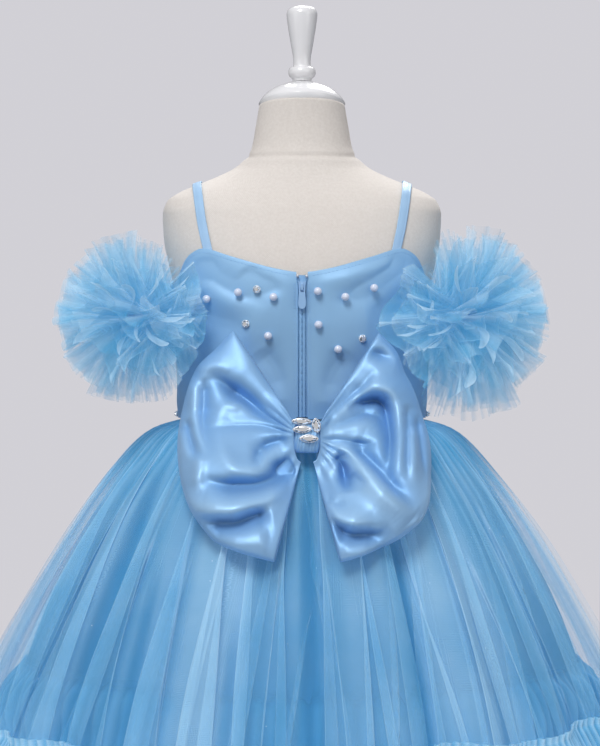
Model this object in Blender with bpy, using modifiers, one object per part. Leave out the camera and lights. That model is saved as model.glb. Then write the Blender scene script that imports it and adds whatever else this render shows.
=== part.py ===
"""A small child's ball gown on a limbless dress form, as separate cut and sewn pieces.

Metres, +Z up. The origin is the centre of the stand's underside. The gown's back, with the zip
and the bow, faces -Y, and its front faces +Y. "Height" below means height above the waist seam,
"drop" means depth below it, and "turn" is the angle around the body from the centre back,
positive towards +X.
"""

import math

import bmesh
import bpy
import numpy as np
from mathutils import Euler, Vector

# ---------------------------------------------------------------- driving dimensions
WAIST = 0.460  # the waist seam above the floor
SEAM = 0.0003  # gap between two sewn pieces
SATIN = 0.0014  # bodice cloth with its backing
TULLE = 0.0012  # layered net, as one wall
EASE = 0.0013  # between the form and the cloth on it

# The form's level sections. height: above the waist. half: half width. back, front: depth
# behind and before the side line. square: the superellipse exponent.
BODY_COLUMNS = ("height", "half", "back", "front", "square")
BODY_ROWS = (
    (-0.108, 0.0800, 0.0600, 0.0640, 2.2),
    (-0.098, 0.1030, 0.0790, 0.0830, 2.3),
    (-0.050, 0.1085, 0.0840, 0.0860, 2.3),
    (0.000, 0.1035, 0.0795, 0.0840, 2.3),
    (0.045, 0.1040, 0.0805, 0.0840, 2.35),
    (0.086, 0.1060, 0.0830, 0.0815, 2.4),
    (0.112, 0.1095, 0.0835, 0.0780, 2.45),
    (0.136, 0.1150, 0.0805, 0.0725, 2.5),
    (0.155, 0.1185, 0.0755, 0.0665, 2.5),
    (0.176, 0.1195, 0.0675, 0.0590, 2.5),
    (0.187, 0.1160, 0.0615, 0.0550, 2.4),
    (0.195, 0.1050, 0.0560, 0.0525, 2.3),
    (0.201, 0.0910, 0.0515, 0.0510, 2.2),
    (0.208, 0.0740, 0.0465, 0.0500, 2.1),
    (0.216, 0.0580, 0.0415, 0.0490, 2.0),
    (0.225, 0.0475, 0.0365, 0.0480, 2.0),
    (0.234, 0.0430, 0.0325, 0.0470, 2.0),
    (0.250, 0.0400, 0.0290, 0.0450, 2.0),
    (0.268, 0.0368, 0.0270, 0.0430, 2.0),
)
NECK_FORWARD = 0.008  # the neck's centre lies this far before the side line
NECK_SLANT = 0.18  # the neck's top rises this much towards the back
NECK_SLANT_FROM = 0.225

# The outer skirt's sections. fold: how far a fold stands out or in.
SKIRT_COLUMNS = ("drop", "half", "back", "front", "square", "fold")
SKIRT_ROWS = (
    (0.000, 0.1052, 0.0812, 0.0857, 2.3, 0.0006),
    (0.005, 0.1220, 0.0980, 0.1020, 2.2, 0.0014),
    (0.013, 0.1350, 0.1110, 0.1150, 2.1, 0.0022),
    (0.034, 0.1550, 0.1315, 0.1355, 2.0, 0.0034),
    (0.080, 0.1895, 0.1665, 0.1705, 2.0, 0.0048),
    (0.145, 0.2290, 0.2060, 0.2100, 2.0, 0.0062),
    (0.220, 0.2690, 0.2460, 0.2500, 2.0, 0.0076),
    (0.298, 0.3030, 0.2800, 0.2840, 2.0, 0.0088),
)
SKIRT_FOLDS = 24
FOLD_POINTS = 4  # points across one fold

LINING_ROWS = (
    (0.004, 0.1052, 0.0812, 0.0854, 2.3, 0.0),
    (0.014, 0.1180, 0.0940, 0.0980, 2.2, 0.0),
    (0.034, 0.1400, 0.1160, 0.1200, 2.0, 0.0),
    (0.080, 0.1740, 0.1505, 0.1545, 2.0, 0.0),
    (0.160, 0.2180, 0.1945, 0.1985, 2.0, 0.0),
    (0.262, 0.2540, 0.2305, 0.2345, 2.0, 0.0),
)
LINING_POINTS = 36

# The puffed ruffle on the lining. out: how far it stands off the lining. wave: its ruffling.
PUFF_COLUMNS = ("drop", "out", "wave")
PUFF_ROWS = (
    (0.206, 0.0010, 0.0002),
    (0.228, 0.0080, 0.0030),
    (0.258, 0.0040, 0.0018),
    (0.299, 0.0160, 0.0040),
)
PUFF_WAVES = 24

FRILL_TOP = 0.236  # drop of the outer frill's top edge
FRILL_PLEAT = 0.0032  # depth of the frill's pleats
FRILL_SPREAD = 0.0055  # how far the frill's lower edge stands off the skirt
FRILL_POINTS = 2  # frill points for each skirt point
HEM_DROP = 0.300

# The bodice's top edge. turn: degrees from the centre back. height: above the waist.
NECKLINE_COLUMNS = ("turn", "height")
NECKLINE_ROWS = (
    (0, 0.1230),
    (8, 0.1270),
    (24, 0.1365),
    (40, 0.1440),
    (48, 0.1400),
    (68, 0.1180),
    (90, 0.1120),
    (112, 0.1180),
    (132, 0.1400),
    (140, 0.1440),
    (156, 0.1330),
    (180, 0.1260),
)
BODICE_FOOT = 0.0018
ZIP_HALF_WIDTH = 0.0047
ZIP_FOOT = 0.0035

STRAP_WIDTH = 0.0076
STRAP_LOW_X = 0.0800  # where the strap leaves the bodice's top edge
STRAP_HIGH_X = 0.0895  # where it crosses the shoulder
STRAP_CENTRE = 0.130  # height that the strap's route turns about

# The sleeves. side: -1 is the sleeve towards -X. Each one's ruffles end on a rounded outline:
# ball_x and ball_up are its middle, and half_x, half_y and half_up its half sizes.
SLEEVE_COLUMNS = ("side", "name", "ball_x", "ball_up", "half_x", "half_y", "half_up")
SLEEVE_ROWS = (
    (-1, "left", 0.1365, 0.0860, 0.0735, 0.126, 0.0760),
    (1, "right", 0.1350, 0.0835, 0.0755, 0.128, 0.0860),
)
BAND_UP = 0.088  # the sleeve band's middle above the waist
BAND_TALL = 0.0150
BAND_CENTRE_X = 0.118
BAND_HALF_X = 0.041
BAND_HALF_Y = 0.076
BAND_WALL = 0.0014
# The ruffles on each band. lift: angle above level. root: height of its sewn edge on the band.
# end: length left at the band's back end.
RUFFLE_COLUMNS = ("name", "lift", "root", "end")
RUFFLE_ROWS = (
    ("top", 80, 0.0069, 1.00),
    ("high", 49, 0.0040, 1.00),
    ("upper", 17, 0.0013, 1.00),
    ("lower", -15, -0.0014, 0.90),
    ("low", -47, -0.0041, 0.62),
    ("bottom", -79, -0.0069, 0.66),
)
RUFFLE_WAVES = 7
RUFFLE_DEPTH = 0.0095
RUFFLE_TURN = 0.82  # share of the band's turning that the ruffle's direction follows

# The bow. angle: degrees above level, seen from behind. left, right: knot to the loop's fold.
# root_x, root_up: where that line of the loop leaves the knot, from the knot's middle.
BOW_COLUMNS = ("angle", "left", "right", "root_x", "root_up")
BOW_ROWS = (
    (55, 0.1050, 0.1026, 0.0096, 0.0100),
    (44, 0.1032, 0.1009, 0.0100, 0.0080),
    (31, 0.1060, 0.0952, 0.0103, 0.0055),
    (14, 0.1045, 0.0955, 0.0105, 0.0030),
    (-3, 0.1052, 0.0999, 0.0105, 0.0005),
    (-17, 0.1067, 0.1040, 0.0105, -0.0020),
    (-34, 0.1090, 0.1115, 0.0104, -0.0050),
    (-46, 0.1092, 0.1080, 0.0101, -0.0090),
    (-57, 0.1046, 0.1032, 0.0091, -0.0140),
    (-67, 0.1008, 0.1008, 0.0074, -0.0182),
    (-75, 0.0995, 0.0998, 0.0050, -0.0200),
)
# The way round a loop. along: share of the reach. puff: share of the loop's thickness.
# root: how far the point is drawn to the depth at which the loop leaves the knot.
LOOP_COLUMNS = ("along", "puff", "root")
LOOP_ROWS = (
    (0.000, 0.30, 1.00),
    (0.180, 0.60, 0.60),
    (0.420, 0.90, 0.12),
    (0.660, 1.00, 0.00),
    (0.860, 0.80, 0.00),
    (0.970, 0.52, 0.00),
    (1.000, 0.28, 0.00),
    (0.970, 0.06, 0.00),
    (0.800, 0.00, 0.00),
    (0.400, 0.00, 0.00),
    (0.080, 0.04, 0.00),
)
LOOP_ROOT_DEPTH = 0.139
LOOP_THICK = 0.034
LOOP_CLOTH = 0.0015
LOOP_CREASE = 0.0040  # depth of the gathers that run out from the knot
KNOT_X = 0.004
KNOT_HEIGHT = -0.0115
KNOT_HALF_X = 0.0105
KNOT_HALF_Z = 0.0140
KNOT_FRONT = 0.1500  # depth of the knot's front at its middle
KNOT_LEAN = 0.25  # how much further out its lower end stands
# The surface behind the bow. height: from the waist. depth: behind the side line.
BACKING_COLUMNS = ("height", "depth")
BACKING_ROWS = (
    (-0.140, 0.2132),
    (-0.080, 0.1736),
    (-0.034, 0.1370),
    (-0.013, 0.1156),
    (0.000, 0.1020),
    (0.012, 0.0945),
    (0.080, 0.0925),
)
BACKING_FALL = 1.5  # how fast that surface falls away to the sides

# The stones on the knot. x, height: place. tilt: degrees. long, wide: size.
STONE_COLUMNS = ("name", "x", "height", "tilt", "long", "wide")
STONE_ROWS = (
    ("upper", -0.0044, 0.0011, -2, 0.0153, 0.0052),
    ("middle", -0.0040, -0.0052, 2, 0.0147, 0.0058),
    ("lower", 0.0014, -0.0126, -2, 0.0147, 0.0062),
    ("side", 0.0074, -0.0022, -82, 0.0113, 0.0066),
)
STONE_DEEP = 0.0042

POLE_RADIUS = 0.0125
BASE_RADIUS = 0.140
BASE_TALL = 0.014

# ---------------------------------------------------------------- tables and curves


def column(rows, names, name):
    """One named column of a table, as numbers."""
    place = names.index(name)
    return np.array([row[place] for row in rows], float)


def read(rows, names, key, at, name):
    """A table's value at a key, straight between rows."""
    keys = column(rows, names, key)
    order = np.argsort(keys)
    return float(np.interp(at, keys[order], column(rows, names, name)[order]))


def rounded(value, power):
    """A sine or cosine bent towards a superellipse."""
    return math.copysign(abs(value) ** (2 / power), value)


def section_point(turn, half, back, front, square, out=0.0):
    """A point on a level section, at a turn from the centre back."""
    depth = back if math.cos(turn) > 0 else front
    x = (half + out) * rounded(math.sin(turn), square)
    y = -(depth + out) * rounded(math.cos(turn), square)
    return x, y


def body_point(turn, height, out=0.0):
    """A point on the form at a turn and height, moved out level by out."""
    values = [read(BODY_ROWS, BODY_COLUMNS, "height", height, n) for n in BODY_COLUMNS[1:]]
    x, y = section_point(turn, *values, out)
    return Vector((x, y, WAIST + height))


def inside_body(x, y, height, out=0.0):
    """Under 1 inside the form's section at that height, and over 1 outside it."""
    half, back, front, square = (
        read(BODY_ROWS, BODY_COLUMNS, "height", height, n) for n in BODY_COLUMNS[1:]
    )
    depth = back if y < 0 else front
    return (abs(x) / (half + out)) ** square + (abs(y) / (depth + out)) ** square


def bisect(test, low, high):
    """The value between low and high where test turns from true to false."""
    for _ in range(40):
        middle = (low + high) / 2
        if test(middle):
            low = middle
        else:
            high = middle
    return (low + high) / 2


def turn_at_x(x, height):
    """The turn behind the body at which its section has this x."""
    return bisect(lambda turn: body_point(turn, height).x < x, 0.0, math.pi / 2)


# ---------------------------------------------------------------- making objects


def material(name, colour, roughness, metallic=0.0):
    made = bpy.data.materials.new(name)
    made.use_nodes = True
    shader = made.node_tree.nodes["Principled BSDF"]
    shader.inputs["Base Color"].default_value = (*colour, 1.0)
    shader.inputs["Roughness"].default_value = roughness
    shader.inputs["Metallic"].default_value = metallic
    return made


def add_object(name, mesh, collection, finish, smooth_angle=60):
    made = bpy.data.objects.new(name, mesh)
    collection.objects.link(made)
    if finish:
        mesh.materials.append(finish)
    mesh.shade_smooth()
    mesh.set_sharp_from_angle(angle=math.radians(smooth_angle))
    return made


def grid_mesh(name, rows, closed=False, capped=False):
    """A mesh through rows of points. closed joins each row's ends, capped fills the end rows."""
    mesh = bpy.data.meshes.new(name)
    across = len(rows[0])
    points = [tuple(point) for row in rows for point in row]
    steps = across if closed else across - 1
    faces = []
    for row in range(len(rows) - 1):
        for step in range(steps):
            right = (step + 1) % across
            low, high = row * across, (row + 1) * across
            faces.append((low + step, low + right, high + right, high + step))
    if capped:
        faces.append(tuple(reversed(range(across))))
        faces.append(tuple(range((len(rows) - 1) * across, len(rows) * across)))
    mesh.from_pydata(points, [], faces)
    mesh.update()
    return mesh


def cloth(name, rows, thickness, collection, finish, closed=False, side=1.0):
    """A sheet through rows of points, given its thickness on one side."""
    made = add_object(name, grid_mesh(name, rows, closed), collection, finish)
    wall = made.modifiers.new("wall", "SOLIDIFY")
    wall.thickness = thickness
    wall.offset = side
    wall.use_even_offset = False
    return made


def turned(name, profile, centre, steps, collection, finish):
    """A turned piece from a profile of (radius, height) that runs from top to bottom."""
    mesh = bpy.data.meshes.new(name)
    points = [(radius, 0.0, height) for radius, height in profile]
    mesh.from_pydata(points, [(i, i + 1) for i in range(len(points) - 1)], [])
    made = add_object(name, mesh, collection, finish)
    made.location = centre
    screw = made.modifiers.new("turn", "SCREW")
    screw.steps = steps
    screw.render_steps = steps
    screw.use_merge_vertices = True
    screw.merge_threshold = 0.00001
    return made


def plate(name, outlines, thickness, place, collection, finish):
    """A flat plate across Y from outlines of (x, height), the first one outside."""
    curve = bpy.data.curves.new(name, "CURVE")
    curve.dimensions = "2D"
    curve.fill_mode = "BOTH"
    curve.extrude = thickness / 2
    for outline in outlines:
        spline = curve.splines.new("POLY")
        spline.points.add(len(outline) - 1)
        for point, (x, height) in zip(spline.points, outline):
            point.co = (x, height, 0, 1)
        spline.use_cyclic_u = True
    made = bpy.data.objects.new(name, curve)
    made.location = place
    made.rotation_euler = (math.pi / 2, 0, 0)
    curve.materials.append(finish)
    collection.objects.link(made)
    return made


def joined(target, cutter, operation):
    """Joins or cuts target with another object, which is then hidden."""
    cut = target.modifiers.new(operation.lower(), "BOOLEAN")
    cut.operation = operation
    cut.object = cutter
    cutter.hide_render = True
    cutter.display_type = "WIRE"


def box(name, low, high, collection, finish=None):
    """A box between two corners."""
    mesh = bpy.data.meshes.new(name)
    solid = bmesh.new()
    bmesh.ops.create_cube(solid, size=1.0)
    low, high = Vector(low), Vector(high)
    for corner in solid.verts:
        corner.co = [a + (b - a) * (c + 0.5) for a, b, c in zip(low, high, corner.co)]
    solid.to_mesh(mesh)
    solid.free()
    return add_object(name, mesh, collection, finish, 30)


# ---------------------------------------------------------------- the dress form and its stand


def build_form(parts, finishes):
    across = 28
    heights = column(BODY_ROWS, BODY_COLUMNS, "height")
    rows = []
    for height in heights:
        ring = [body_point(2 * math.pi * i / across, height) for i in range(across)]
        lean = max(0.0, height - NECK_SLANT_FROM) / (heights[-1] - NECK_SLANT_FROM)
        for point in ring:
            point.z -= NECK_SLANT * lean * (point.y - NECK_FORWARD)
        rows.append(ring)
    mesh = grid_mesh("form_torso", rows, closed=True, capped=True)
    add_object("form_torso", mesh, parts, finishes["linen"])

    neck_top = WAIST + heights[-1]
    build_cap(parts, finishes, neck_top)
    finial_foot = neck_top + 0.0235
    profile = (
        (0.0000, 0.0650),
        (0.0070, 0.0643),
        (0.0115, 0.0620),
        (0.0133, 0.0580),
        (0.0128, 0.0520),
        (0.0098, 0.0330),
        (0.0072, 0.0150),
        (0.0072, 0.0125),
        (0.0105, 0.0115),
        (0.0119, 0.0075),
        (0.0105, 0.0035),
        (0.0080, 0.0020),
        (0.0080, 0.0000),
        (0.0000, 0.0000),
    )
    centre = (0, NECK_FORWARD, finial_foot + SEAM)
    turned("form_finial", profile, centre, 14, parts, finishes["white"])

    bottom = WAIST + heights[0]
    pole = (
        (0, bottom - SEAM),
        (POLE_RADIUS, bottom - SEAM),
        (POLE_RADIUS, BASE_TALL + SEAM),
        (0, BASE_TALL + SEAM),
    )
    turned("stand_pole", pole, (0, 0, 0), 16, parts, finishes["white"])
    base = (
        (0.0000, BASE_TALL),
        (0.0300, BASE_TALL),
        (BASE_RADIUS - 0.012, BASE_TALL - 0.005),
        (BASE_RADIUS, BASE_TALL - 0.010),
        (BASE_RADIUS, 0.0000),
        (0.0000, 0.0000),
    )
    turned("stand_base", base, (0, 0, 0), 28, parts, finishes["white"])


def build_cap(parts, finishes, neck_top):
    """The neck cap: a low dome whose rim follows the slanted neck, under a level boss."""
    across = 20
    # radius, height above the neck's top, and share of the neck's slant
    dome = (
        (0.0366, 0.0004, 1.0),
        (0.0376, 0.0020, 1.0),
        (0.0340, 0.0095, 0.8),
        (0.0250, 0.0170, 0.5),
        (0.0120, 0.0225, 0.2),
        (0.0085, 0.0235, 0.0),
    )
    rows = []
    for radius, height, slant in dome:
        ring = []
        for i in range(across):
            turn = 2 * math.pi * i / across
            x, y = radius * math.sin(turn), -radius * math.cos(turn)
            ring.append((x, NECK_FORWARD + y, neck_top + height - NECK_SLANT * slant * y))
        rows.append(ring)
    mesh = grid_mesh("form_cap", rows, closed=True, capped=True)
    add_object("form_cap", mesh, parts, finishes["white"])


# ---------------------------------------------------------------- the bodice


def neckline(turn):
    degrees = abs(math.degrees(turn))
    return read(NECKLINE_ROWS, NECKLINE_COLUMNS, "turn", degrees, "height")


def bodice_rows(first, last, across, up, out, foot=BODICE_FOOT):
    """Rows of points from the waist to the neckline between two turns."""
    rows = []
    for level in range(up + 1):
        share = level / up
        row = []
        for step in range(across + 1):
            turn = first + (last - first) * step / across
            height = foot + (neckline(turn) - foot) * share
            row.append(body_point(turn, height, out))
        rows.append(row)
    return rows


def build_bodice(parts, finishes):
    side = math.pi / 2
    edge = turn_at_x(ZIP_HALF_WIDTH, 0.06)
    for name, sign in (("left", -1), ("right", 1)):
        ends = sorted((sign * edge, sign * side))
        rows = bodice_rows(*ends, 9, 5, EASE)
        zip_end, side_end = (-1, 0) if sign < 0 else (0, -1)
        for row in rows:
            row[zip_end].x = sign * ZIP_HALF_WIDTH
            row[side_end].y = -SEAM / 2
        cloth(f"bodice_back_{name}", rows, SATIN, parts, finishes["satin"])
    cloth("bodice_front", front_rows(), SATIN, parts, finishes["satin"])
    build_trim(parts, finishes)


def front_rows():
    """The front panel's points, whose turns run on from one side seam to the other."""
    first, last = math.pi / 2, 3 * math.pi / 2
    rows = []
    for level in range(6):
        row = []
        for step in range(19):
            turn = first + (last - first) * step / 18
            top = neckline(turn if turn <= math.pi else 2 * math.pi - turn)
            row.append(body_point(turn, BODICE_FOOT + (top - BODICE_FOOT) * level / 5, EASE))
        row[0].y = row[-1].y = SEAM / 2
        rows.append(row)
    return rows


def build_trim(parts, finishes):
    """The narrow stone-set trim over the front of the waist seam."""
    lift = EASE + SATIN + SEAM + 0.0004
    rows = []
    for height in (0.0020, 0.0080):
        turns = np.linspace(math.pi / 2 - 0.05, 3 * math.pi / 2 + 0.05, 25)
        rows.append([body_point(turn, height, lift) for turn in turns])
    cloth("waist_trim", rows, 0.0016, parts, finishes["silver"])


# ---------------------------------------------------------------- the zip


def build_zip(parts, finishes):
    """The tape and coil between the back panels, with a slider and its hanging tab."""
    top = neckline(0) - 0.002
    knots = [height for height in column(BODY_ROWS, BODY_COLUMNS, "height") if ZIP_FOOT < height < top]
    levels = [ZIP_FOOT, *knots, top]
    # x and how far that point of the tape stands out
    shape = [(-0.0044, 0.0), (-0.0022, 0.0), (-0.0016, 0.0009)]
    shape += [(0.0016, 0.0009), (0.0022, 0.0), (0.0044, 0.0)]
    rows = []
    for height in levels:
        y = body_point(0.0, height, EASE).y
        rows.append([(x, y - out, WAIST + height) for x, out in shape])
    cloth("zip_tape", rows, 0.0010, parts, finishes["zip"])

    height = top - 0.010
    face = body_point(0.0, height, EASE).y - 0.0019 - SEAM
    slider_back, slider_front = face, face - 0.0030
    middle = WAIST + height
    outline = [(0.0032, 0.0045), (-0.0032, 0.0045), (-0.0024, -0.0045), (0.0024, -0.0045)]
    place = (0, (slider_back + slider_front) / 2, middle)
    tilt = slider_tilt(height)
    deep = slider_back - slider_front
    slider = plate("zip_slider_plate", [outline], deep, place, parts, finishes["zip_metal"])
    slider = as_mesh(slider, "zip_slider", parts)
    bail = bail_arch(slider_front, middle, parts)
    joined(slider, bail, "UNION")

    hinge = Vector((0, slider_front - 0.00105, middle))
    tab = tab_outline()
    eye = [(-0.0013, -0.0006), (0.0013, -0.0006), (0.0013, -0.0042), (-0.0013, -0.0042)]
    place = (0, hinge.y, middle)
    tab = plate("zip_pull_tab", [tab, eye], 0.0011, place, parts, finishes["zip_metal"])
    for piece in (slider, tab, bail):
        turn_about(piece, hinge, tilt)
    return hinge


def slider_tilt(height):
    """The back's lean at the slider, from its slope."""
    above = body_point(0.0, height + 0.008).y
    below = body_point(0.0, height - 0.014).y
    return math.atan2(above - below, 0.022)


def turn_about(piece, hinge, angle):
    """Turns a placed piece about the X line through hinge."""
    offset = piece.location - hinge
    offset.rotate(Euler((angle, 0, 0)))
    piece.location = hinge + offset
    piece.rotation_euler.x += angle


def as_mesh(curve_object, name, collection):
    """A curve object made into a welded mesh object in the same place."""
    bpy.context.view_layer.update()
    graph = bpy.context.evaluated_depsgraph_get()
    mesh = bpy.data.meshes.new_from_object(curve_object.evaluated_get(graph))
    solid = bmesh.new()
    solid.from_mesh(mesh)
    bmesh.ops.remove_doubles(solid, verts=solid.verts, dist=0.00001)
    solid.to_mesh(mesh)
    solid.free()
    made = bpy.data.objects.new(name, mesh)
    collection.objects.link(made)
    made.location = curve_object.location
    made.rotation_euler = curve_object.rotation_euler
    bpy.data.objects.remove(curve_object)
    return made


def bail_arch(front, middle, collection):
    """The slider's small bridge, which the tab's cross bar hangs in."""
    reach, leg, thick, half = 0.0030, 0.0032, 0.0009, 0.0008
    outline = [
        (leg, -0.0006), (leg, reach - 0.0008), (leg - 0.0008, reach), (-leg + 0.0008, reach),
        (-leg, reach - 0.0008), (-leg, -0.0006), (-leg + thick, -0.0006),
        (-leg + thick, reach - thick), (leg - thick, reach - thick), (leg - thick, -0.0006),
    ]
    mesh = bpy.data.meshes.new("bail")
    points = [(x, front - out, middle + up) for x in (-half, half) for up, out in outline]
    count = len(outline)
    faces = [tuple(range(count)), tuple(reversed(range(count, 2 * count)))]
    for i in range(count):
        after = (i + 1) % count
        faces.append((i, i + count, after + count, after))
    mesh.from_pydata([(p[0], p[1] - front, p[2] - middle) for p in points], [], faces)
    fixed = bmesh.new()
    fixed.from_mesh(mesh)
    bmesh.ops.recalc_face_normals(fixed, faces=fixed.faces)
    fixed.to_mesh(mesh)
    fixed.free()
    made = bpy.data.objects.new("bail", mesh)
    made.location = (0, front, middle)
    collection.objects.link(made)
    return made


def tab_outline():
    """A teardrop tab hung from its cross bar, as (x, height) about the bar."""
    points = [(0.0026, 0.0006), (-0.0026, 0.0006)]
    points += [(-0.0026, -0.0050), (-0.0031, -0.0120)]
    for step in range(7):
        angle = math.pi + math.pi * step / 6
        points.append((0.0031 * math.cos(angle), -0.0150 + 0.0031 * math.sin(angle)))
    points += [(0.0031, -0.0120), (0.0026, -0.0050)]
    return points


# ---------------------------------------------------------------- the straps


def strap_point(x, angle, out):
    """A point above the form's shoulder, on a line from inside it at an angle from behind."""
    centre_y = -0.004
    direction = (-math.cos(angle), math.sin(angle))

    def within(reach):
        y = centre_y + direction[0] * reach
        height = STRAP_CENTRE + direction[1] * reach
        return inside_body(x, y, height) < 1

    reach = bisect(within, 0.0, 0.12) + out
    return Vector((x, centre_y + direction[0] * reach, WAIST + STRAP_CENTRE + direction[1] * reach))


def strap_end(sign):
    """The angle at which the strap meets the bodice's top edge, behind (-1) or before (1)."""

    def below(angle):
        for x in (STRAP_LOW_X - STRAP_WIDTH / 2, STRAP_LOW_X + STRAP_WIDTH / 2):
            point = strap_point(x, angle if sign < 0 else math.pi - angle, 0.0)
            turn = turn_at_x(x, point.z - WAIST)
            if point.z - WAIST < neckline(turn if sign < 0 else math.pi - turn) + 3 * SEAM:
                return True
        return False

    return bisect(below, 0.0, 1.2)


def build_straps(parts, finishes):
    steps = 14
    start, finish = strap_end(-1), math.pi - strap_end(1)
    for name, side in (("left", -1), ("right", 1)):
        rows = []
        for step in range(steps + 1):
            share = step / steps
            angle = start + (finish - start) * share
            middle = STRAP_LOW_X + (STRAP_HIGH_X - STRAP_LOW_X) * math.sin(math.pi * share) ** 0.6
            edges = (middle - STRAP_WIDTH / 2, middle + STRAP_WIDTH / 2)
            row = [strap_point(edge, angle, EASE) for edge in edges]
            for point in row:
                point.x *= side
            rows.append(row if side > 0 else row[::-1])
        cloth(f"strap_{name}", rows, TULLE, parts, finishes["satin"])


# ---------------------------------------------------------------- the skirt


def layer_point(rows, turn, drop, wave=0.0):
    """A point on a skirt layer. wave is its fold, from -1 to 1."""
    values = [read(rows, SKIRT_COLUMNS, "drop", drop, n) for n in SKIRT_COLUMNS[1:]]
    x, y = section_point(turn, *values[:4])
    outward = Vector((x / values[0] ** 2, y / values[1] ** 2, 0)).normalized()
    return Vector((x, y, WAIST - drop)) + outward * values[4] * wave


def fold_turn(step, count):
    """The turn at a point of the round, spaced a little unevenly, as gathers are."""
    even = 2 * math.pi * step / count
    return even + 0.035 * math.sin(2 * even) + 0.030 * math.sin(3 * even + 1.1) - 0.030 * math.sin(1.1)


def skirt_rows(count):
    """The outer skirt's points, row by row from the waist to the hem."""
    drops = column(SKIRT_ROWS, SKIRT_COLUMNS, "drop")
    rows = []
    for drop in drops:
        row = []
        for step in range(count + 1):
            wave = math.cos(2 * math.pi * step / FOLD_POINTS)
            wave *= 0.80 + 0.20 * math.sin(5 * math.pi * step / count + 0.7) ** 2
            row.append(layer_point(SKIRT_ROWS, fold_turn(step, count), drop, wave))
        rows.append(row)
    return rows


def panel_of(rows, first, last):
    """The columns from first to last of rows of points, parted from the next panel by a seam."""
    panel = [[Vector(point) for point in row[first : last + 1]] for row in rows]
    for row in panel:
        for end, beside in ((0, 1), (-1, -2)):
            row[end] += (row[beside] - row[end]).normalized() * SEAM / 2
    return panel


def build_outer_skirt(parts, finishes):
    """The tulle overskirt in three panels, seamed at the sides and the centre back."""
    count = SKIRT_FOLDS * FOLD_POINTS
    rows = skirt_rows(count)
    quarter = count // 4
    panels = (("back_right", 0, quarter), ("front", quarter, 3 * quarter), ("back_left", 3 * quarter, count))
    for name, first, last in panels:
        panel = panel_of(rows, first, last)
        cloth(f"skirt_{name}", [row[::-1] for row in panel], TULLE, parts, finishes["tulle"])
        frill = panel_of(frill_rows(rows, first, last), 0, FRILL_POINTS * (last - first))
        cloth(f"frill_{name}", [row[::-1] for row in frill], TULLE, parts, finishes["tulle"])


def frill_rows(rows, first, last):
    """The pleated frill's points, made from the skirt's own points and moved out."""
    drops = column(SKIRT_ROWS, SKIRT_COLUMNS, "drop")
    above, hem = rows[-2], rows[-1]
    share = (FRILL_TOP - drops[-2]) / (drops[-1] - drops[-2])
    top, foot = [], []
    for step in range(first * FRILL_POINTS, last * FRILL_POINTS + 1):
        at, part = divmod(step, FRILL_POINTS)
        part /= FRILL_POINTS
        after = min(at + 1, len(hem) - 1)
        high = above[at].lerp(above[after], part)
        low = hem[at].lerp(hem[after], part)
        outward = Vector((low.x, low.y, 0)).normalized()
        pleat = FRILL_PLEAT * (0.5 + 0.5 * math.cos(2 * math.pi * step / 4))
        start = high.lerp(low, share) + outward * (TULLE * 1.7 + SEAM + pleat * 0.25)
        end = low + outward * (TULLE * 1.7 + SEAM + FRILL_SPREAD + pleat)
        end.z = WAIST - HEM_DROP
        top.append(start)
        foot.append(end)
    return [top, foot]


def lining_point(turn, drop):
    return layer_point(LINING_ROWS, turn, drop)


def build_under_skirt(parts, finishes):
    """The opaque underskirt and the puffed ruffle round its hem, each in a front and a back."""
    drops = column(LINING_ROWS, SKIRT_COLUMNS, "drop")
    quarter = LINING_POINTS // 4
    order = {"back": range(-quarter, quarter + 1), "front": range(quarter, 3 * quarter + 1)}
    for name, steps in order.items():
        rows = [[lining_point(2 * math.pi * i / LINING_POINTS, drop) for i in steps] for drop in drops]
        panel = panel_of(rows, 0, LINING_POINTS // 2)
        cloth(f"lining_{name}", [row[::-1] for row in panel], TULLE, parts, finishes["lining"])
        build_puff(name, parts, finishes)


def build_puff(name, parts, finishes):
    """One half of the puffed ruffle, made from the lining's points moved out."""
    count = PUFF_WAVES * 4
    quarter = count // 4
    steps = range(-quarter, quarter + 1) if name == "back" else range(quarter, 3 * quarter + 1)
    rows = []
    for drop, out, wave in PUFF_ROWS:
        row = []
        for step in steps:
            turn = 2 * math.pi * step / count
            base = lining_point(turn, min(drop, 0.262))
            outward = Vector((base.x, base.y, 0)).normalized()
            ruffle = wave * math.cos(2 * math.pi * step / 4)
            point = base + outward * (TULLE + out + ruffle)
            point.z = WAIST - drop
            row.append(point)
        rows.append(row)
    panel = panel_of(rows, 0, len(rows[0]) - 1)
    cloth(f"hem_ruffle_{name}", [row[::-1] for row in panel], TULLE, parts, finishes["tulle"])


# ---------------------------------------------------------------- the sleeves


def band_frame(angle, side):
    """A point on the sleeve band's line and its level direction outward."""
    x = BAND_CENTRE_X + BAND_HALF_X * math.cos(angle)
    y = -BAND_HALF_Y * math.sin(angle)
    eased = angle * RUFFLE_TURN
    outward = Vector((side * math.cos(eased) / BAND_HALF_X, -math.sin(eased) / BAND_HALF_Y, 0))
    return Vector((side * x, y, WAIST + BAND_UP)), outward.normalized()


def band_end():
    """The angle at which the band reaches the bodice's side."""
    clear = EASE + SATIN + SEAM + 0.0004

    def outside(angle):
        point, _ = band_frame(angle, 1)
        return inside_body(point.x, point.y, BAND_UP, clear) > 1

    return bisect(outside, math.pi / 2, math.pi)


def build_sleeves(parts, finishes):
    end = band_end()
    for row in SLEEVE_ROWS:
        sleeve = dict(zip(SLEEVE_COLUMNS, row))
        build_band(sleeve, end, parts, finishes)
        for ruffle_row in RUFFLE_ROWS:
            build_ruffle(sleeve, dict(zip(RUFFLE_COLUMNS, ruffle_row)), end, parts, finishes)


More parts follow.
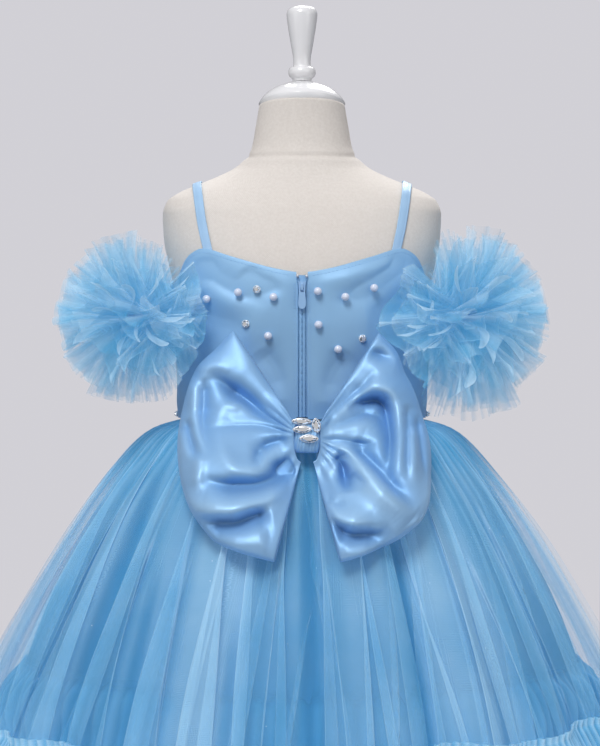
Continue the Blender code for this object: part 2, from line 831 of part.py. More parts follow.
def build_band(sleeve, end, parts, finishes):
    """The elastic casing that the ruffles are gathered on."""
    side = sleeve["side"]
    rows = []
    for height in (-BAND_TALL / 2, BAND_TALL / 2):
        row = []
        for angle in np.linspace(-end, end, 25):
            point, _ = band_frame(angle, side)
            row.append(point + Vector((0, 0, height)))
        rows.append(row)
    cloth(f"sleeve_band_{sleeve['name']}", rows, BAND_WALL, parts, finishes["satin"], side=side)


def reach_to_ball(sleeve, start, along):
    """How far from start, along a direction, the sleeve's rounded outline is."""
    middle_x = sleeve["side"] * sleeve["ball_x"]
    middle_z = WAIST + sleeve["ball_up"]

    def within(reach):
        point = start + along * reach
        level = ((point.x - middle_x) / sleeve["half_x"]) ** 2
        level += ((point.z - middle_z) / sleeve["half_up"]) ** 2
        return level + (point.y / sleeve["half_y"]) ** 4 < 1

    return bisect(within, 0.0, 0.2)


def build_ruffle(sleeve, ruffle, end, parts, finishes):
    """One gathered ruffle, sewn to the band by its inner edge and kept off the bodice's side."""
    side = sleeve["side"]
    lift = math.radians(ruffle["lift"])
    steps = RUFFLE_WAVES * 4
    upward = Vector((0, 0, 1))
    sewn, free = [], []
    for step in range(steps + 1):
        angle = (-end + 2 * end * step / steps) * 0.985
        point, outward = band_frame(angle, side)
        along = outward * math.cos(lift) + upward * math.sin(lift)
        across = upward * math.cos(lift) - outward * math.sin(lift)
        root = point + outward * 0.0014 + upward * ruffle["root"]
        near_end = abs(angle / end) ** 5
        length = reach_to_ball(sleeve, root, along) * (1 - (1 - ruffle["end"]) * near_end)
        wave = math.cos(2 * math.pi * step / 4)
        wave += (-math.copysign(1.0, lift) - wave) * near_end
        sewn.append(root)
        free.append(root + along * length + across * RUFFLE_DEPTH * wave)
    name = f"sleeve_{ruffle['name']}_{sleeve['name']}"
    cloth(name, [sewn, free], TULLE, parts, finishes["tulle"], side=0.0)


# ---------------------------------------------------------------- the bow


def backing_depth(x, height):
    """How far behind the side line the bow's back layer lies."""
    depth = read(BACKING_ROWS, BACKING_COLUMNS, "height", height, "depth")
    return depth - BACKING_FALL * x * x


def build_loop(name, side, parts, finishes):
    """One bow loop: a wide ribbon out from the knot, round its fold and back."""
    angles = column(BOW_ROWS, BOW_COLUMNS, "angle")
    reaches = column(BOW_ROWS, BOW_COLUMNS, name)
    roots = list(zip(column(BOW_ROWS, BOW_COLUMNS, "root_x"), column(BOW_ROWS, BOW_COLUMNS, "root_up")))
    spread = len(angles) - 1
    rows = []
    for along, puff, root_pull in LOOP_ROWS:
        row = []
        for place, (angle, reach) in enumerate(zip(np.radians(angles), reaches)):
            root_x, root_up = roots[place]
            across = root_x * (1 - along) + reach * along * math.cos(angle)
            height = KNOT_HEIGHT + root_up * (1 - along) + reach * along * math.sin(angle)
            x = KNOT_X + side * across
            edge = math.sin(math.pi * place / spread) ** 0.5
            thick = LOOP_THICK * puff * (0.40 + 0.60 * edge if along > 0.1 else 0.5)
            crease = 0.0
            if puff > 0.4:
                crease = LOOP_CREASE * math.cos(2 * math.pi * place / 2.5) * math.sin(math.pi * along)
            depth = backing_depth(x, height) + 0.0006 + thick + crease
            depth += (LOOP_ROOT_DEPTH - depth) * root_pull
            row.append(Vector((x, -depth, WAIST + height)))
        rows.append(row)
    cloth(f"bow_loop_{name}", rows, LOOP_CLOTH, parts, finishes["satin"], side=-1.0 if side > 0 else 1.0)


def build_bow(parts, finishes):
    build_loop("left", -1, parts, finishes)
    build_loop("right", 1, parts, finishes)
    rows = []
    for level in range(7):
        height = KNOT_HEIGHT - KNOT_HALF_Z * math.cos(math.pi * level / 6)
        ring = []
        for step in range(12):
            turn = 2 * math.pi * step / 12
            half, front, back = knot_section(height)
            x = half * rounded(math.sin(turn), 3.0)
            share = 0.5 + 0.5 * rounded(math.cos(turn), 3.0)
            ring.append((KNOT_X + x, -(back + (front - back) * share), WAIST + height))
        rows.append(ring)
    mesh = grid_mesh("bow_knot", rows, closed=True, capped=True)
    add_object("bow_knot", mesh, parts, finishes["satin"])
    for row in STONE_ROWS:
        build_stone(dict(zip(STONE_COLUMNS, row)), parts, finishes)


def knot_section(height):
    """The knot's half width and the depths of its front and back, at a height."""
    share = max(-1.0, min(1.0, (height - KNOT_HEIGHT) / KNOT_HALF_Z))
    swell = math.sqrt(1 - share * share)
    back = backing_depth(0, height) + 0.0012
    front = KNOT_FRONT - KNOT_LEAN * (height - KNOT_HEIGHT) - 0.0060 * (1 - swell)
    return KNOT_HALF_X * (0.72 + 0.28 * swell), front, back


def knot_front(x, height):
    """The depth of the knot's front at a place on it."""
    half, front, back = knot_section(height)
    across = min(0.98, abs(x) / half)
    share = 0.5 + 0.5 * (1 - across**3) ** (1 / 3)
    return back + (front - back) * share


def stone_outline(stone, shrink):
    """The pointed oval's corners, as (x, height), at a share of its size."""
    tilt = math.radians(stone["tilt"])
    corners = []
    for step in range(10):
        turn = 2 * math.pi * step / 10
        x = stone["long"] / 2 * shrink * math.cos(turn)
        z = stone["wide"] / 2 * shrink * math.sin(turn) * abs(math.sin(turn)) ** 0.3
        across = x * math.cos(tilt) - z * math.sin(tilt)
        up = x * math.sin(tilt) + z * math.cos(tilt)
        corners.append((stone["x"] + across, stone["height"] + up))
    return corners


def build_stone(stone, parts, finishes):
    """A pointed oval stone with a flat back, standing just off the knot's front."""
    under = stone_outline(stone, 1.0) + stone_outline(stone, 0.5)
    back = max(knot_front(x, height) for x, height in under) + SEAM
    rows = []
    for shrink, out in ((1.0, 0.0), (1.0, 0.35), (0.55, 1.0)):
        corners = stone_outline(stone, shrink)
        rows.append([(KNOT_X + x, -back - STONE_DEEP * out, WAIST + height) for x, height in corners])
    mesh = grid_mesh(f"bow_stone_{stone['name']}", rows, closed=True, capped=True)
    add_object(f"bow_stone_{stone['name']}", mesh, parts, finishes["silver"])


# ---------------------------------------------------------------- the whole


def main():
    for old in list(bpy.data.objects):
        bpy.data.objects.remove(old)
    parts = bpy.data.collections.new("ball_gown_on_form")
    bpy.context.scene.collection.children.link(parts)
    finishes = {
        "satin": material("satin", (0.22, 0.45, 0.80), 0.35),
        "tulle": material("tulle", (0.20, 0.50, 0.82), 0.70),
        "lining": material("lining", (0.06, 0.30, 0.62), 0.60),
        "zip": material("zip", (0.10, 0.28, 0.58), 0.60),
        "zip_metal": material("zip_metal", (0.35, 0.52, 0.78), 0.40, 0.2),
        "silver": material("silver", (0.85, 0.85, 0.88), 0.15, 1.0),
        "linen": material("linen", (0.72, 0.68, 0.62), 0.85),
        "white": material("white", (0.88, 0.88, 0.90), 0.25),
    }
    build_form(parts, finishes)
    build_bodice(parts, finishes)
    build_zip(parts, finishes)
    build_straps(parts, finishes)
    build_outer_skirt(parts, finishes)
    build_under_skirt(parts, finishes)
    build_sleeves(parts, finishes)
    build_bow(parts, finishes)


main()
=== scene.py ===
# %% [markdown]
# # A child's ball gown on its dress form
#
# The gown is satin above the waist and net below it, with two balls of net for sleeves and a wide
# satin bow behind. This script dresses the construction model: each cloth piece is made again as a
# thin, finely folded surface where the plain solid stands, and each surface gets a finish built
# from shader nodes.

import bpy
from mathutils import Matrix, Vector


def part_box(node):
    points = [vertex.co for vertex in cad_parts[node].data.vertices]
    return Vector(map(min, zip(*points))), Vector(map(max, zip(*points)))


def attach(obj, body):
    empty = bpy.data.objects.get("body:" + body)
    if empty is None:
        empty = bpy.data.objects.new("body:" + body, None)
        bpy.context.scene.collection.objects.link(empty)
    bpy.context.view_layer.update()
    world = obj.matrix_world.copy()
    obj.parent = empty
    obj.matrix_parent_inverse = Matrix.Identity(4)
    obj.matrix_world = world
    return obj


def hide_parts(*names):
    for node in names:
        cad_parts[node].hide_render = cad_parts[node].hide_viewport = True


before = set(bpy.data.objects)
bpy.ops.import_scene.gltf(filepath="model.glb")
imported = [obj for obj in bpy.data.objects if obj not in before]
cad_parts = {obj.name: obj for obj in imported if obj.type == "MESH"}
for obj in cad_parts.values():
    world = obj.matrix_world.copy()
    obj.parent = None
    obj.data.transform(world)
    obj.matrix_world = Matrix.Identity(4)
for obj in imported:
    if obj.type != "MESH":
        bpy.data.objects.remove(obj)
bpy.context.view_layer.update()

# %% [markdown]
# ## Sizes
#
# Everything is in metres. A dressmaker measures from the waist seam, so heights are given above it
# and drops below it. A turn is the angle round the body from the centre back, which faces -Y.

# %% Driving sizes
import math

import bmesh
import bpy
import numpy as np
from mathutils import Matrix, Vector

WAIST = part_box("bodice_front")[0].z - 0.0018
SATIN = 0.0014  # bodice cloth with its backing
EASE = 0.0013  # between the form and the cloth on it
OUTSIDE = EASE + SATIN  # from the form to the satin's right side
GOWN, TAB = "gown_and_form", "zip_tab"  # the two bodies
print(f"waist seam {WAIST:.4f} m above the floor")

# %% [markdown]
# ## Reading a table on a curve
#
# The form and the skirts are given by level sections, a row for each. Cubic pieces with limited
# slopes pass through each row and never overshoot it, as a free spline may.

# %% A smooth table reader


def smooth_read(keys, values, at):
    """Values between a table's rows, on a curve that never overshoots them."""
    keys, values, at = (np.asarray(part, float) for part in (keys, values, at))
    gaps = np.diff(keys)
    slopes = np.diff(values) / gaps
    tangents = np.zeros(len(keys))
    tangents[0], tangents[-1] = slopes[0], slopes[-1]
    product, total = slopes[:-1] * slopes[1:], slopes[:-1] + slopes[1:]
    rising = product > 0
    tangents[1:-1][rising] = 2 * product[rising] / total[rising]
    low = np.clip(np.searchsorted(keys, at) - 1, 0, len(keys) - 2)
    share = np.clip((at - keys[low]) / gaps[low], 0, 1)
    square, cube = share**2, share**3
    return (
        (2 * cube - 3 * square + 1) * values[low]
        + (cube - 2 * square + share) * gaps[low] * tangents[low]
        + (3 * square - 2 * cube) * values[low + 1]
        + (cube - square) * gaps[low] * tangents[low + 1]
    )


def read_row(rows, at):
    """All the columns after the first, read at a value of the first."""
    table = np.array(rows, float)
    return [smooth_read(table[:, 0], table[:, i], at) for i in range(1, table.shape[1])]


def ease(low, high, value):
    """0 below low, 1 above high, and a soft step between them."""
    share = np.clip((np.asarray(value, float) - low) / (high - low), 0, 1)
    return share * share * (3 - 2 * share)


def uneven(places, seed, low, high, knots):
    """A jagged line of seeded heights, read at places between 0 and 1."""
    heights = np.random.default_rng(round(seed * 10)).uniform(low, high, knots)
    return np.interp(places, np.linspace(0, 1, knots), heights)


print("halfway up a step:", float(ease(0, 1, 0.5)))

# %% [markdown]
# ## Level sections
#
# A body's level section lies between a box and an ellipse. A superellipse with its own depth behind
# and before describes that with four numbers.

# %% Points round a section


def bent(value, power):
    """A sine or cosine bent towards a superellipse."""
    return np.sign(value) * np.abs(value) ** (2 / power)


def section(turn, half, back, front, square, out=0.0):
    """x and y on a level section, at a turn from the centre back."""
    depth = np.where(np.cos(turn) > 0, back, front)
    x = (half + out) * bent(np.sin(turn), square)
    y = -(depth + out) * bent(np.cos(turn), square)
    return x, y


def level(points):
    """The level direction away from the gown's middle at each point."""
    outward = points * (1, 1, 0)
    return outward / np.maximum(np.linalg.norm(outward, axis=-1), 1e-6)[..., None]


def spots(x, y, z):
    """Points from their three coordinates."""
    return np.stack(np.broadcast_arrays(x, y, z), -1)


def all_round(count):
    """Turns spaced evenly once round."""
    return np.linspace(0, math.tau, count, endpoint=False)


def half_turned(turn):
    """The same turn as a number between minus and plus half a turn."""
    return np.mod(turn + math.pi, math.tau) - math.pi


# height above the waist, half width, depth behind, depth before, squareness
BODY_ROWS = (
    (-0.108, 0.0800, 0.0600, 0.0640, 2.2),
    (-0.098, 0.1030, 0.0790, 0.0830, 2.3),
    (-0.050, 0.1085, 0.0840, 0.0860, 2.3),
    (0.000, 0.1035, 0.0795, 0.0840, 2.3),
    (0.045, 0.1040, 0.0805, 0.0840, 2.35),
    (0.086, 0.1060, 0.0830, 0.0815, 2.4),
    (0.112, 0.1095, 0.0835, 0.0780, 2.45),
    (0.136, 0.1150, 0.0805, 0.0725, 2.5),
    (0.155, 0.1185, 0.0755, 0.0665, 2.5),
    (0.176, 0.1195, 0.0675, 0.0590, 2.5),
    (0.187, 0.1160, 0.0615, 0.0550, 2.4),
    (0.195, 0.1050, 0.0560, 0.0525, 2.3),
    (0.201, 0.0910, 0.0515, 0.0510, 2.2),
    (0.208, 0.0740, 0.0465, 0.0500, 2.1),
    (0.216, 0.0580, 0.0415, 0.0490, 2.0),
    (0.225, 0.0475, 0.0365, 0.0480, 2.0),
    (0.234, 0.0430, 0.0325, 0.0470, 2.0),
    (0.250, 0.0400, 0.0290, 0.0450, 2.0),
    (0.268, 0.0368, 0.0270, 0.0430, 2.0),
)
NECK_TOP = 0.268
NECK_FORWARD = 0.008  # the neck's centre lies this far before the side line
NECK_SLANT = 0.18  # the neck's top rises this much towards the back
NECK_SLANT_FROM = 0.225


def body(turn, height, out=0.0):
    """Points on the form at turns and heights, moved out level by out."""
    turn, height = np.broadcast_arrays(np.asarray(turn, float), np.asarray(height, float))
    x, y = section(turn, *read_row(BODY_ROWS, height), out)
    return spots(x, y, WAIST + height)


print("the form is", round(2 * float(body(math.pi / 2, 0.0)[0]), 4), "m wide at the waist")

# %% [markdown]
# ## Sheets of points
#
# A sheet is made in one go from a grid of points: rows, then points along a row. Its true lengths
# become UV coordinates in metres, so a weave keeps its scale on every piece.

# %% A mesh from a grid of points


def lengths_along(points, axis):
    """Lengths run along one axis of a grid of points, starting from zero."""
    steps = np.linalg.norm(np.diff(points, axis=axis), axis=-1)
    start = np.zeros_like(np.take(steps, [0], axis=axis))
    return np.concatenate([start, np.cumsum(steps, axis=axis)], axis=axis)


def smoothed(mesh):
    mesh.polygons.foreach_set("use_smooth", np.ones(len(mesh.polygons), bool))
    return mesh


def mesh_of(name, points, faces):
    """A smooth mesh from points and faces."""
    mesh = bpy.data.meshes.new(name)
    mesh.from_pydata(np.array(points).tolist(), [], faces)
    return smoothed(mesh)


def grid_mesh(name, points, closed):
    """A smooth mesh through a grid of points. closed joins the ends of each row."""
    if closed:
        points = np.concatenate([points, points[:, :1]], axis=1)
    rows, across = points.shape[:2]
    kept = across - 1 if closed else across
    mesh = bpy.data.meshes.new(name)
    mesh.vertices.add(rows * kept)
    mesh.vertices.foreach_set("co", points[:, :kept].astype(np.float32).ravel())
    row, place = np.meshgrid(np.arange(rows - 1), np.arange(across - 1), indexing="ij")
    corners = [(row, place), (row, place + 1), (row + 1, place + 1), (row + 1, place)]
    index = np.stack([a * kept + b % kept for a, b in corners], -1).reshape(-1, 4)
    mesh.loops.add(index.size)
    mesh.loops.foreach_set("vertex_index", index.ravel().astype(np.int32))
    mesh.polygons.add(len(index))
    mesh.polygons.foreach_set("loop_start", np.arange(0, index.size, 4, dtype=np.int32))
    smoothed(mesh).update(calc_edges=True)
    along = lengths_along(points, 0).mean(axis=1)[:, None] + np.zeros((rows, across))
    sideways = lengths_along(points, 1).max(axis=0)[None, :] + np.zeros((rows, across))
    flat = np.stack([sideways, along], -1)
    uv = np.stack([flat[a, b] for a, b in corners], 2).reshape(-1, 2)
    mesh.uv_layers.new(name="cloth").data.foreach_set("uv", uv.astype(np.float32).ravel())
    return mesh


def keep_values(mesh, **values):
    """Stores one number for each point of a mesh under each name, for the finish to read."""
    for name, value in values.items():
        column = mesh.attributes.new(name, "FLOAT", "POINT")
        column.data.foreach_set("value", np.ascontiguousarray(value, np.float32).ravel())


print("a sheet of points becomes one mesh with UVs in metres")

# %% [markdown]
# ## Adding a piece to the gown
#
# Each piece rides on the gown's body, takes its finish and names the solids that it stands for,
# which are hidden. A cloth piece also says what size it was cut to: the length of its longest
# row, its mean depth and its area.

# %% Helpers for pieces
LEAST_AREA = 0.3001  # the smallest area that a cut may have, as a share of width times length


def put_in(name, data):
    """A new object in the scene."""
    made = bpy.data.objects.new(name, data)
    bpy.context.scene.collection.objects.link(made)
    return made


def add_piece(name, mesh, finish, replaces=(), body_name=GOWN):
    piece = put_in(name, mesh)
    if not mesh.materials:
        mesh.materials.append(finish)
    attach(piece, body_name)
    if replaces:
        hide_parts(*replaces)
    return piece


def cut_of(points, closed):
    """(longest row, mean depth, area) of a sheet, in metres and square metres."""
    if closed:
        points = np.concatenate([points, points[:, :1]], axis=1)
    longest = lengths_along(points, 1)[:, -1].max()
    depth = lengths_along(points, 0)[-1].mean()
    one, two = points[1:, 1:] - points[:-1, :-1], points[:-1, 1:] - points[1:, :-1]
    area = 0.5 * np.linalg.norm(np.cross(one, two), axis=-1).sum()
    return float(longest), float(max(depth, area / longest * 1.0001)), float(area)


def add_sheet(name, points, finish, slot, held, rests_on, replaces=(), closed=False, **values):
    """A cloth piece from its grid of points, with its cut printed."""
    mesh = grid_mesh(name, points, closed)
    keep_values(mesh, **values)
    piece = add_piece(name, mesh, finish, replaces)
    width, length, area = cut_of(points, closed)
    area = max(area, LEAST_AREA * width * length)
    print(f"{name}: cut {width:.3f} x {length:.3f} m, {area:.4f} square metres")
    return piece


def add_net(name, points, finish, rests_on, replaces, cover, tone):
    """A gathered sheet of net, with the two numbers that its finish reads."""
    tone = np.clip(tone, 0, 1)
    add_sheet(name, points, finish, "tulle", "gathered", rests_on, replaces, cover=cover, tone=tone)


def add_wall(piece, thickness):
    """Gives a sheet its thickness, half to each side."""
    wall = piece.modifiers.new("wall", "SOLIDIFY")
    wall.thickness = thickness
    wall.offset = 0
    wall.use_even_offset = False


print("helpers for pieces are ready")

# %% [markdown]
# ## Shader helpers
#
# A finish is a small tree of nodes. Effects that several finishes share, such as a weave, are node
# groups, which put out only values that change over the surface.

# %% Node helpers


def feed(tree, socket, value):
    """Links a socket to another, or sets its own value."""
    if isinstance(value, bpy.types.NodeSocket):
        tree.links.new(value, socket)
    else:
        socket.default_value = value


def node(tree, kind, inputs=(), **settings):
    """Adds a node, sets its properties and feeds its inputs by name or number."""
    made = tree.nodes.new(kind)
    for key, value in settings.items():
        setattr(made, key, value)
    for key, value in dict(inputs).items():
        feed(tree, made.inputs[key], value)
    return made


def calc(tree, operation, *values):
    """The output of a Math node."""
    return node(tree, "ShaderNodeMath", enumerate(values), operation=operation).outputs[0]


def between(tree, share, low, high):
    """Mixes two colours or socket outputs by a share."""
    made = node(tree, "ShaderNodeMix", data_type="RGBA")
    for key, value in (("Factor", share), ("A", low), ("B", high)):
        feed(tree, made.inputs[key], value)
    return made.outputs["Result"]


def group_of(name, inputs, outputs):
    """A node group with float inputs, each with its first value, and named float outputs."""
    group = bpy.data.node_groups.new(name, "ShaderNodeTree")
    for label, value in inputs.items():
        socket = group.interface.new_socket(label, in_out="INPUT", socket_type="NodeSocketFloat")
        socket.default_value = value
    for label in outputs:
        group.interface.new_socket(label, in_out="OUTPUT", socket_type="NodeSocketFloat")
    given = group.nodes.new("NodeGroupInput").outputs
    results = group.nodes.new("NodeGroupOutput").inputs
    return group, given, results


def use(tree, group, **inputs):
    """Places a group in a tree. Its inputs are named with low lines for spaces."""
    named = {label.replace("_", " "): value for label, value in inputs.items()}
    return node(tree, "ShaderNodeGroup", named, node_tree=group).outputs


def stored(tree, name):
    """A number that was kept on each point of a mesh."""
    return node(tree, "ShaderNodeAttribute", attribute_name=name).outputs["Fac"]


print("node helpers are ready")

# %% [markdown]
# ## Shared effects
#
# - A weave is two families of crossing threads. The product of two waves gives one high spot for
#   each crossing.
# - Mottling is a slow, soft change that keeps a large surface from looking computed.
# - Net is a grid of cells with thin threads round them: the borders of a Voronoi pattern's cells.
# - Glitter is a few tiny flakes: only those cells shine whose random number is high.

# %% Weave, mottling, net and glitter groups


def make_weave():
    group, given, results = group_of("weave", {"Threads per metre": 1500.0}, ["Height"])
    uv = node(group, "ShaderNodeUVMap", uv_map="cloth").outputs[0]
    axes = node(group, "ShaderNodeSeparateXYZ", {0: uv}).outputs
    turns = calc(group, "MULTIPLY", given["Threads per metre"], math.pi)
    waves = [calc(group, "SINE", calc(group, "MULTIPLY", axes[i], turns)) for i in (0, 1)]
    feed(group, results["Height"], calc(group, "MULTIPLY", *waves))
    return group


def make_mottling():
    group, given, results = group_of("mottling", {"Scale": 12.0, "Detail": 3.0}, ["Value"])
    place = node(group, "ShaderNodeTexCoord").outputs["Object"]
    inputs = {"Vector": place, "Scale": given["Scale"], "Detail": given["Detail"]}
    feed(group, results["Value"], node(group, "ShaderNodeTexNoise", inputs).outputs[0])
    return group


def make_net():
    sockets = {"Cells per metre": 700.0, "Thread share": 0.12}
    group, given, results = group_of("net", sockets, ["Threads"])
    uv = node(group, "ShaderNodeUVMap", uv_map="cloth").outputs[0]
    inputs = {"Vector": uv, "Scale": given["Cells per metre"], "Randomness": 0.55}
    settings = {"feature": "DISTANCE_TO_EDGE", "voronoi_dimensions": "2D"}
    cells = node(group, "ShaderNodeTexVoronoi", inputs, **settings)
    share = calc(group, "DIVIDE", cells.outputs["Distance"], given["Thread share"])
    feed(group, results["Threads"], calc(group, "SUBTRACT", 1.0, calc(group, "MINIMUM", share, 1.0)))
    return group


def make_glitter():
    sockets = {"Cells per metre": 260.0, "Dark share": 0.97}
    group, given, results = group_of("glitter", sockets, ["Flakes"])
    place = node(group, "ShaderNodeTexCoord").outputs["Object"]
    inputs = {"Vector": place, "Scale": given["Cells per metre"]}
    cells = node(group, "ShaderNodeTexVoronoi", inputs, feature="F1")
    lit = calc(group, "GREATER_THAN", cells.outputs["Color"], given["Dark share"])
    near = calc(group, "LESS_THAN", cells.outputs["Distance"], 0.26)
    feed(group, results["Flakes"], calc(group, "MULTIPLY", lit, near))
    return group


weave, mottling, net, glitter = make_weave(), make_mottling(), make_net(), make_glitter()
print("shared effects:", weave.name, mottling.name, net.name, glitter.name)

# %% [markdown]
# ## Finishes
#
# Satin's light is broad, soft and a little whiter than the cloth: middling roughness and some
# sheen. Mottling and a fine weave keep it from looking like plastic. Numbers that are the same all
# over are set on the shader itself.

# %% A finish to start from, and the satins


def start_finish(name, roughness, metallic=0.0, specular=0.5):
    """A new material, its tree and its shader."""
    made = bpy.data.materials.new(name)
    made.use_nodes = True
    shader = made.node_tree.nodes["Principled BSDF"]
    shader.inputs["Roughness"].default_value = roughness
    shader.inputs["Metallic"].default_value = metallic
    shader.inputs["Specular IOR Level"].default_value = specular
    return made, made.node_tree, shader


def set_sheen(shader, weight, tint, roughness=0.4):
    shader.inputs["Sheen Weight"].default_value = weight
    shader.inputs["Sheen Tint"].default_value = (*tint, 1)
    shader.inputs["Sheen Roughness"].default_value = roughness


def cloud(tree, scale, detail=2.0):
    """A soft change over the surface, from the mottling group."""
    return use(tree, mottling, Scale=scale, Detail=detail)["Value"]


def paint(tree, shader, share, low, high):
    """Mixes a shader's colour from two."""
    feed(tree, shader.inputs["Base Color"], between(tree, share, (*low, 1), (*high, 1)))


def add_bump(tree, shader, layers):
    """Stacks bumps on a shader, each as (height socket, strength, distance)."""
    last = {}
    for height, strength, distance in layers:
        inputs = {"Height": height, "Strength": strength, "Distance": distance, **last}
        last = {"Normal": node(tree, "ShaderNodeBump", inputs).outputs[0]}
    feed(tree, shader.inputs["Normal"], last["Normal"])


def make_satin(name, deep, pale, roughness, threads, lustre=0.0, folded=False):
    """Satin. Where folded, a number on its points paints shade in creases and light on ridges."""
    made, tree, shader = start_finish(name, roughness, metallic=lustre, specular=0.45)
    slow, fine = cloud(tree, 16.0), cloud(tree, 260.0, 3.0)
    share = slow
    if folded:
        # Painted shade and light: creases get the deep colour, ridges the pale one.
        ridge = calc(tree, "MULTIPLY_ADD", stored(tree, "valley"), -0.7, 0.7)
        share = calc(tree, "MULTIPLY_ADD", slow, 0.3, ridge)
    paint(tree, shader, share, deep, pale)
    rough = calc(tree, "MULTIPLY_ADD", fine, 0.10, roughness - 0.05)
    feed(tree, shader.inputs["Roughness"], rough)
    set_sheen(shader, 0.15, (0.70, 0.86, 1.0), 0.35)
    raised = use(tree, weave, Threads_per_metre=threads)["Height"]
    add_bump(tree, shader, [(slow, 0.25, 0.0020), (fine, 0.18, 0.0003), (raised, 0.10, 0.0001)])
    return made


bodice_satin = make_satin("bodice_satin", (0.262, 0.490, 0.755), (0.312, 0.550, 0.805), 0.50, 1400.0, 0.18)
# The bow's deep and pale colours span its painted shade and its painted highlight.
bow_satin = make_satin("bow_satin", (0.142, 0.345, 0.655), (0.425, 0.685, 0.950), 0.52, 1400.0, 0.38, True)
strap_satin = make_satin("strap_satin", (0.330, 0.540, 0.780), (0.400, 0.610, 0.850), 0.45, 900.0)
lining_cloth = make_satin("lining_cloth", (0.045, 0.265, 0.530), (0.070, 0.315, 0.590), 0.55, 1100.0)
print("satins:", bodice_satin.name, bow_satin.name, strap_satin.name, lining_cloth.name)

# %% [markdown]
# ## Net
#
# Net is mostly holes. Where folds lie over each other it closes up and turns paler. So each net
# sheet carries two numbers on its points: cover, how much of the view it closes, and tone, how pale
# it is; tone also carries painted light and shade on the net's folds, pleats and loops. An even
# glow is painted light, standing for light that passes through the net from behind. A sheen stands
# for the fuzz of fine threads, which catches light at a slant.

# %% The net finish


def make_tulle(name, deep, pale, glitters=False, grain=0.16, glow=0.14):
    made, tree, shader = start_finish(name, 0.8, specular=0.15)
    threads = use(tree, net, Cells_per_metre=700.0, Thread_share=0.16)["Threads"]
    base = calc(tree, "SUBTRACT", stored(tree, "tone"), 0.20)
    share = calc(tree, "MULTIPLY_ADD", cloud(tree, 30.0, 3.0), 0.40, base)
    share = calc(tree, "MULTIPLY_ADD", threads, 0.14, share)
    colour = between(tree, share, (*deep, 1), (*pale, 1))
    grained = calc(tree, "MULTIPLY_ADD", threads, grain, 1.0 - grain * 0.42)
    opacity = calc(tree, "MULTIPLY", stored(tree, "cover"), grained)
    # Painted light: the net glows in its own colour, standing for light passing through it.
    feed(tree, shader.inputs["Emission Color"], colour)
    shader.inputs["Emission Strength"].default_value = glow
    if glitters:
        # Real glitter flakes in the net, with their sparkle painted on as plain white.
        flakes = use(tree, glitter, Cells_per_metre=800.0, Dark_share=0.965)["Flakes"]
        colour = between(tree, flakes, colour, (1.0, 1.0, 1.0, 1))
        opacity = calc(tree, "MAXIMUM", opacity, flakes)
    feed(tree, shader.inputs["Base Color"], colour)
    feed(tree, shader.inputs["Alpha"], calc(tree, "MINIMUM", opacity, 1.0))
    set_sheen(shader, 0.35, (0.72, 0.88, 1.0), 0.5)
    add_bump(tree, shader, [(threads, 0.10, 0.0002)])
    return made


skirt_tulle = make_tulle("skirt_tulle", (0.095, 0.405, 0.680), (0.510, 0.765, 0.940), True, 0.20, 0.16)
under_tulle = make_tulle("under_tulle", (0.055, 0.290, 0.560), (0.250, 0.540, 0.800))
sleeve_tulle = make_tulle("sleeve_tulle", (0.068, 0.345, 0.560), (0.680, 0.820, 0.905), False, 0.24, 0.31)
print("nets:", skirt_tulle.name, under_tulle.name, sleeve_tulle.name)

# %% [markdown]
# ## The form's, zip's and stones' finishes
#
# The form is covered in unbleached linen, its cap and handle are glossy lacquer, and the zip is
# dyed tape with darker stitches over its coil. Cut stones have foil behind them. Each facet gets a
# painted reflection, its own grey kept as a number on its points, and the brightest facets a
# painted glint that glows.

# %% Hard finishes and linen


def make_linen():
    made, tree, shader = start_finish("linen", 0.9, specular=0.2)
    slow, slub = cloud(tree, 9.0, 3.0), cloud(tree, 420.0)
    threads = use(tree, weave, Threads_per_metre=1100.0)["Height"]
    share = calc(tree, "MULTIPLY_ADD", slub, 0.6, calc(tree, "MULTIPLY", slow, 0.4))
    paint(tree, shader, share, (0.620, 0.570, 0.520), (0.820, 0.780, 0.735))
    set_sheen(shader, 0.15, (1.0, 0.98, 0.95))
    add_bump(tree, shader, [(slow, 0.2, 0.0030), (slub, 0.25, 0.0004), (threads, 0.30, 0.0002)])
    return made


def set_coat(shader, weight, roughness):
    shader.inputs["Coat Weight"].default_value = weight
    shader.inputs["Coat Roughness"].default_value = roughness


def make_gloss(name, low, high, roughness, metallic=0.0, coat=0.6, soft=0.08):
    """Lacquer, plastic or plated metal: nearly even, with faint waves in its skin."""
    made, tree, shader = start_finish(name, roughness, metallic)
    slow = cloud(tree, 25.0)
    paint(tree, shader, slow, low, high)
    set_coat(shader, coat, soft)
    add_bump(tree, shader, [(slow, 0.10, 0.0010)])
    return made


def make_tape():
    made, tree, shader = start_finish("zip_tape", 0.8, specular=0.3)
    paint(tree, shader, cloud(tree, 60.0), (0.250, 0.480, 0.770), (0.310, 0.550, 0.830))
    ribs = use(tree, weave, Threads_per_metre=1700.0)["Height"]
    add_bump(tree, shader, [(ribs, 0.5, 0.0002)])
    return made


def make_crystal():
    made, tree, shader = start_finish("crystal", 0.05, metallic=0.8)
    facet = stored(tree, "facet")
    paint(tree, shader, facet, (0.03, 0.035, 0.05), (1.0, 1.0, 1.0))
    # Painted glint: the brightest facets glow, though no lamp is in them.
    glint = calc(tree, "POWER", facet, 4.0)
    feed(tree, shader.inputs["Emission Color"], between(tree, glint, (0, 0, 0, 1), (1, 1, 1, 1)))
    shader.inputs["Emission Strength"].default_value = 0.45
    set_coat(shader, 1.0, 0.02)
    return made


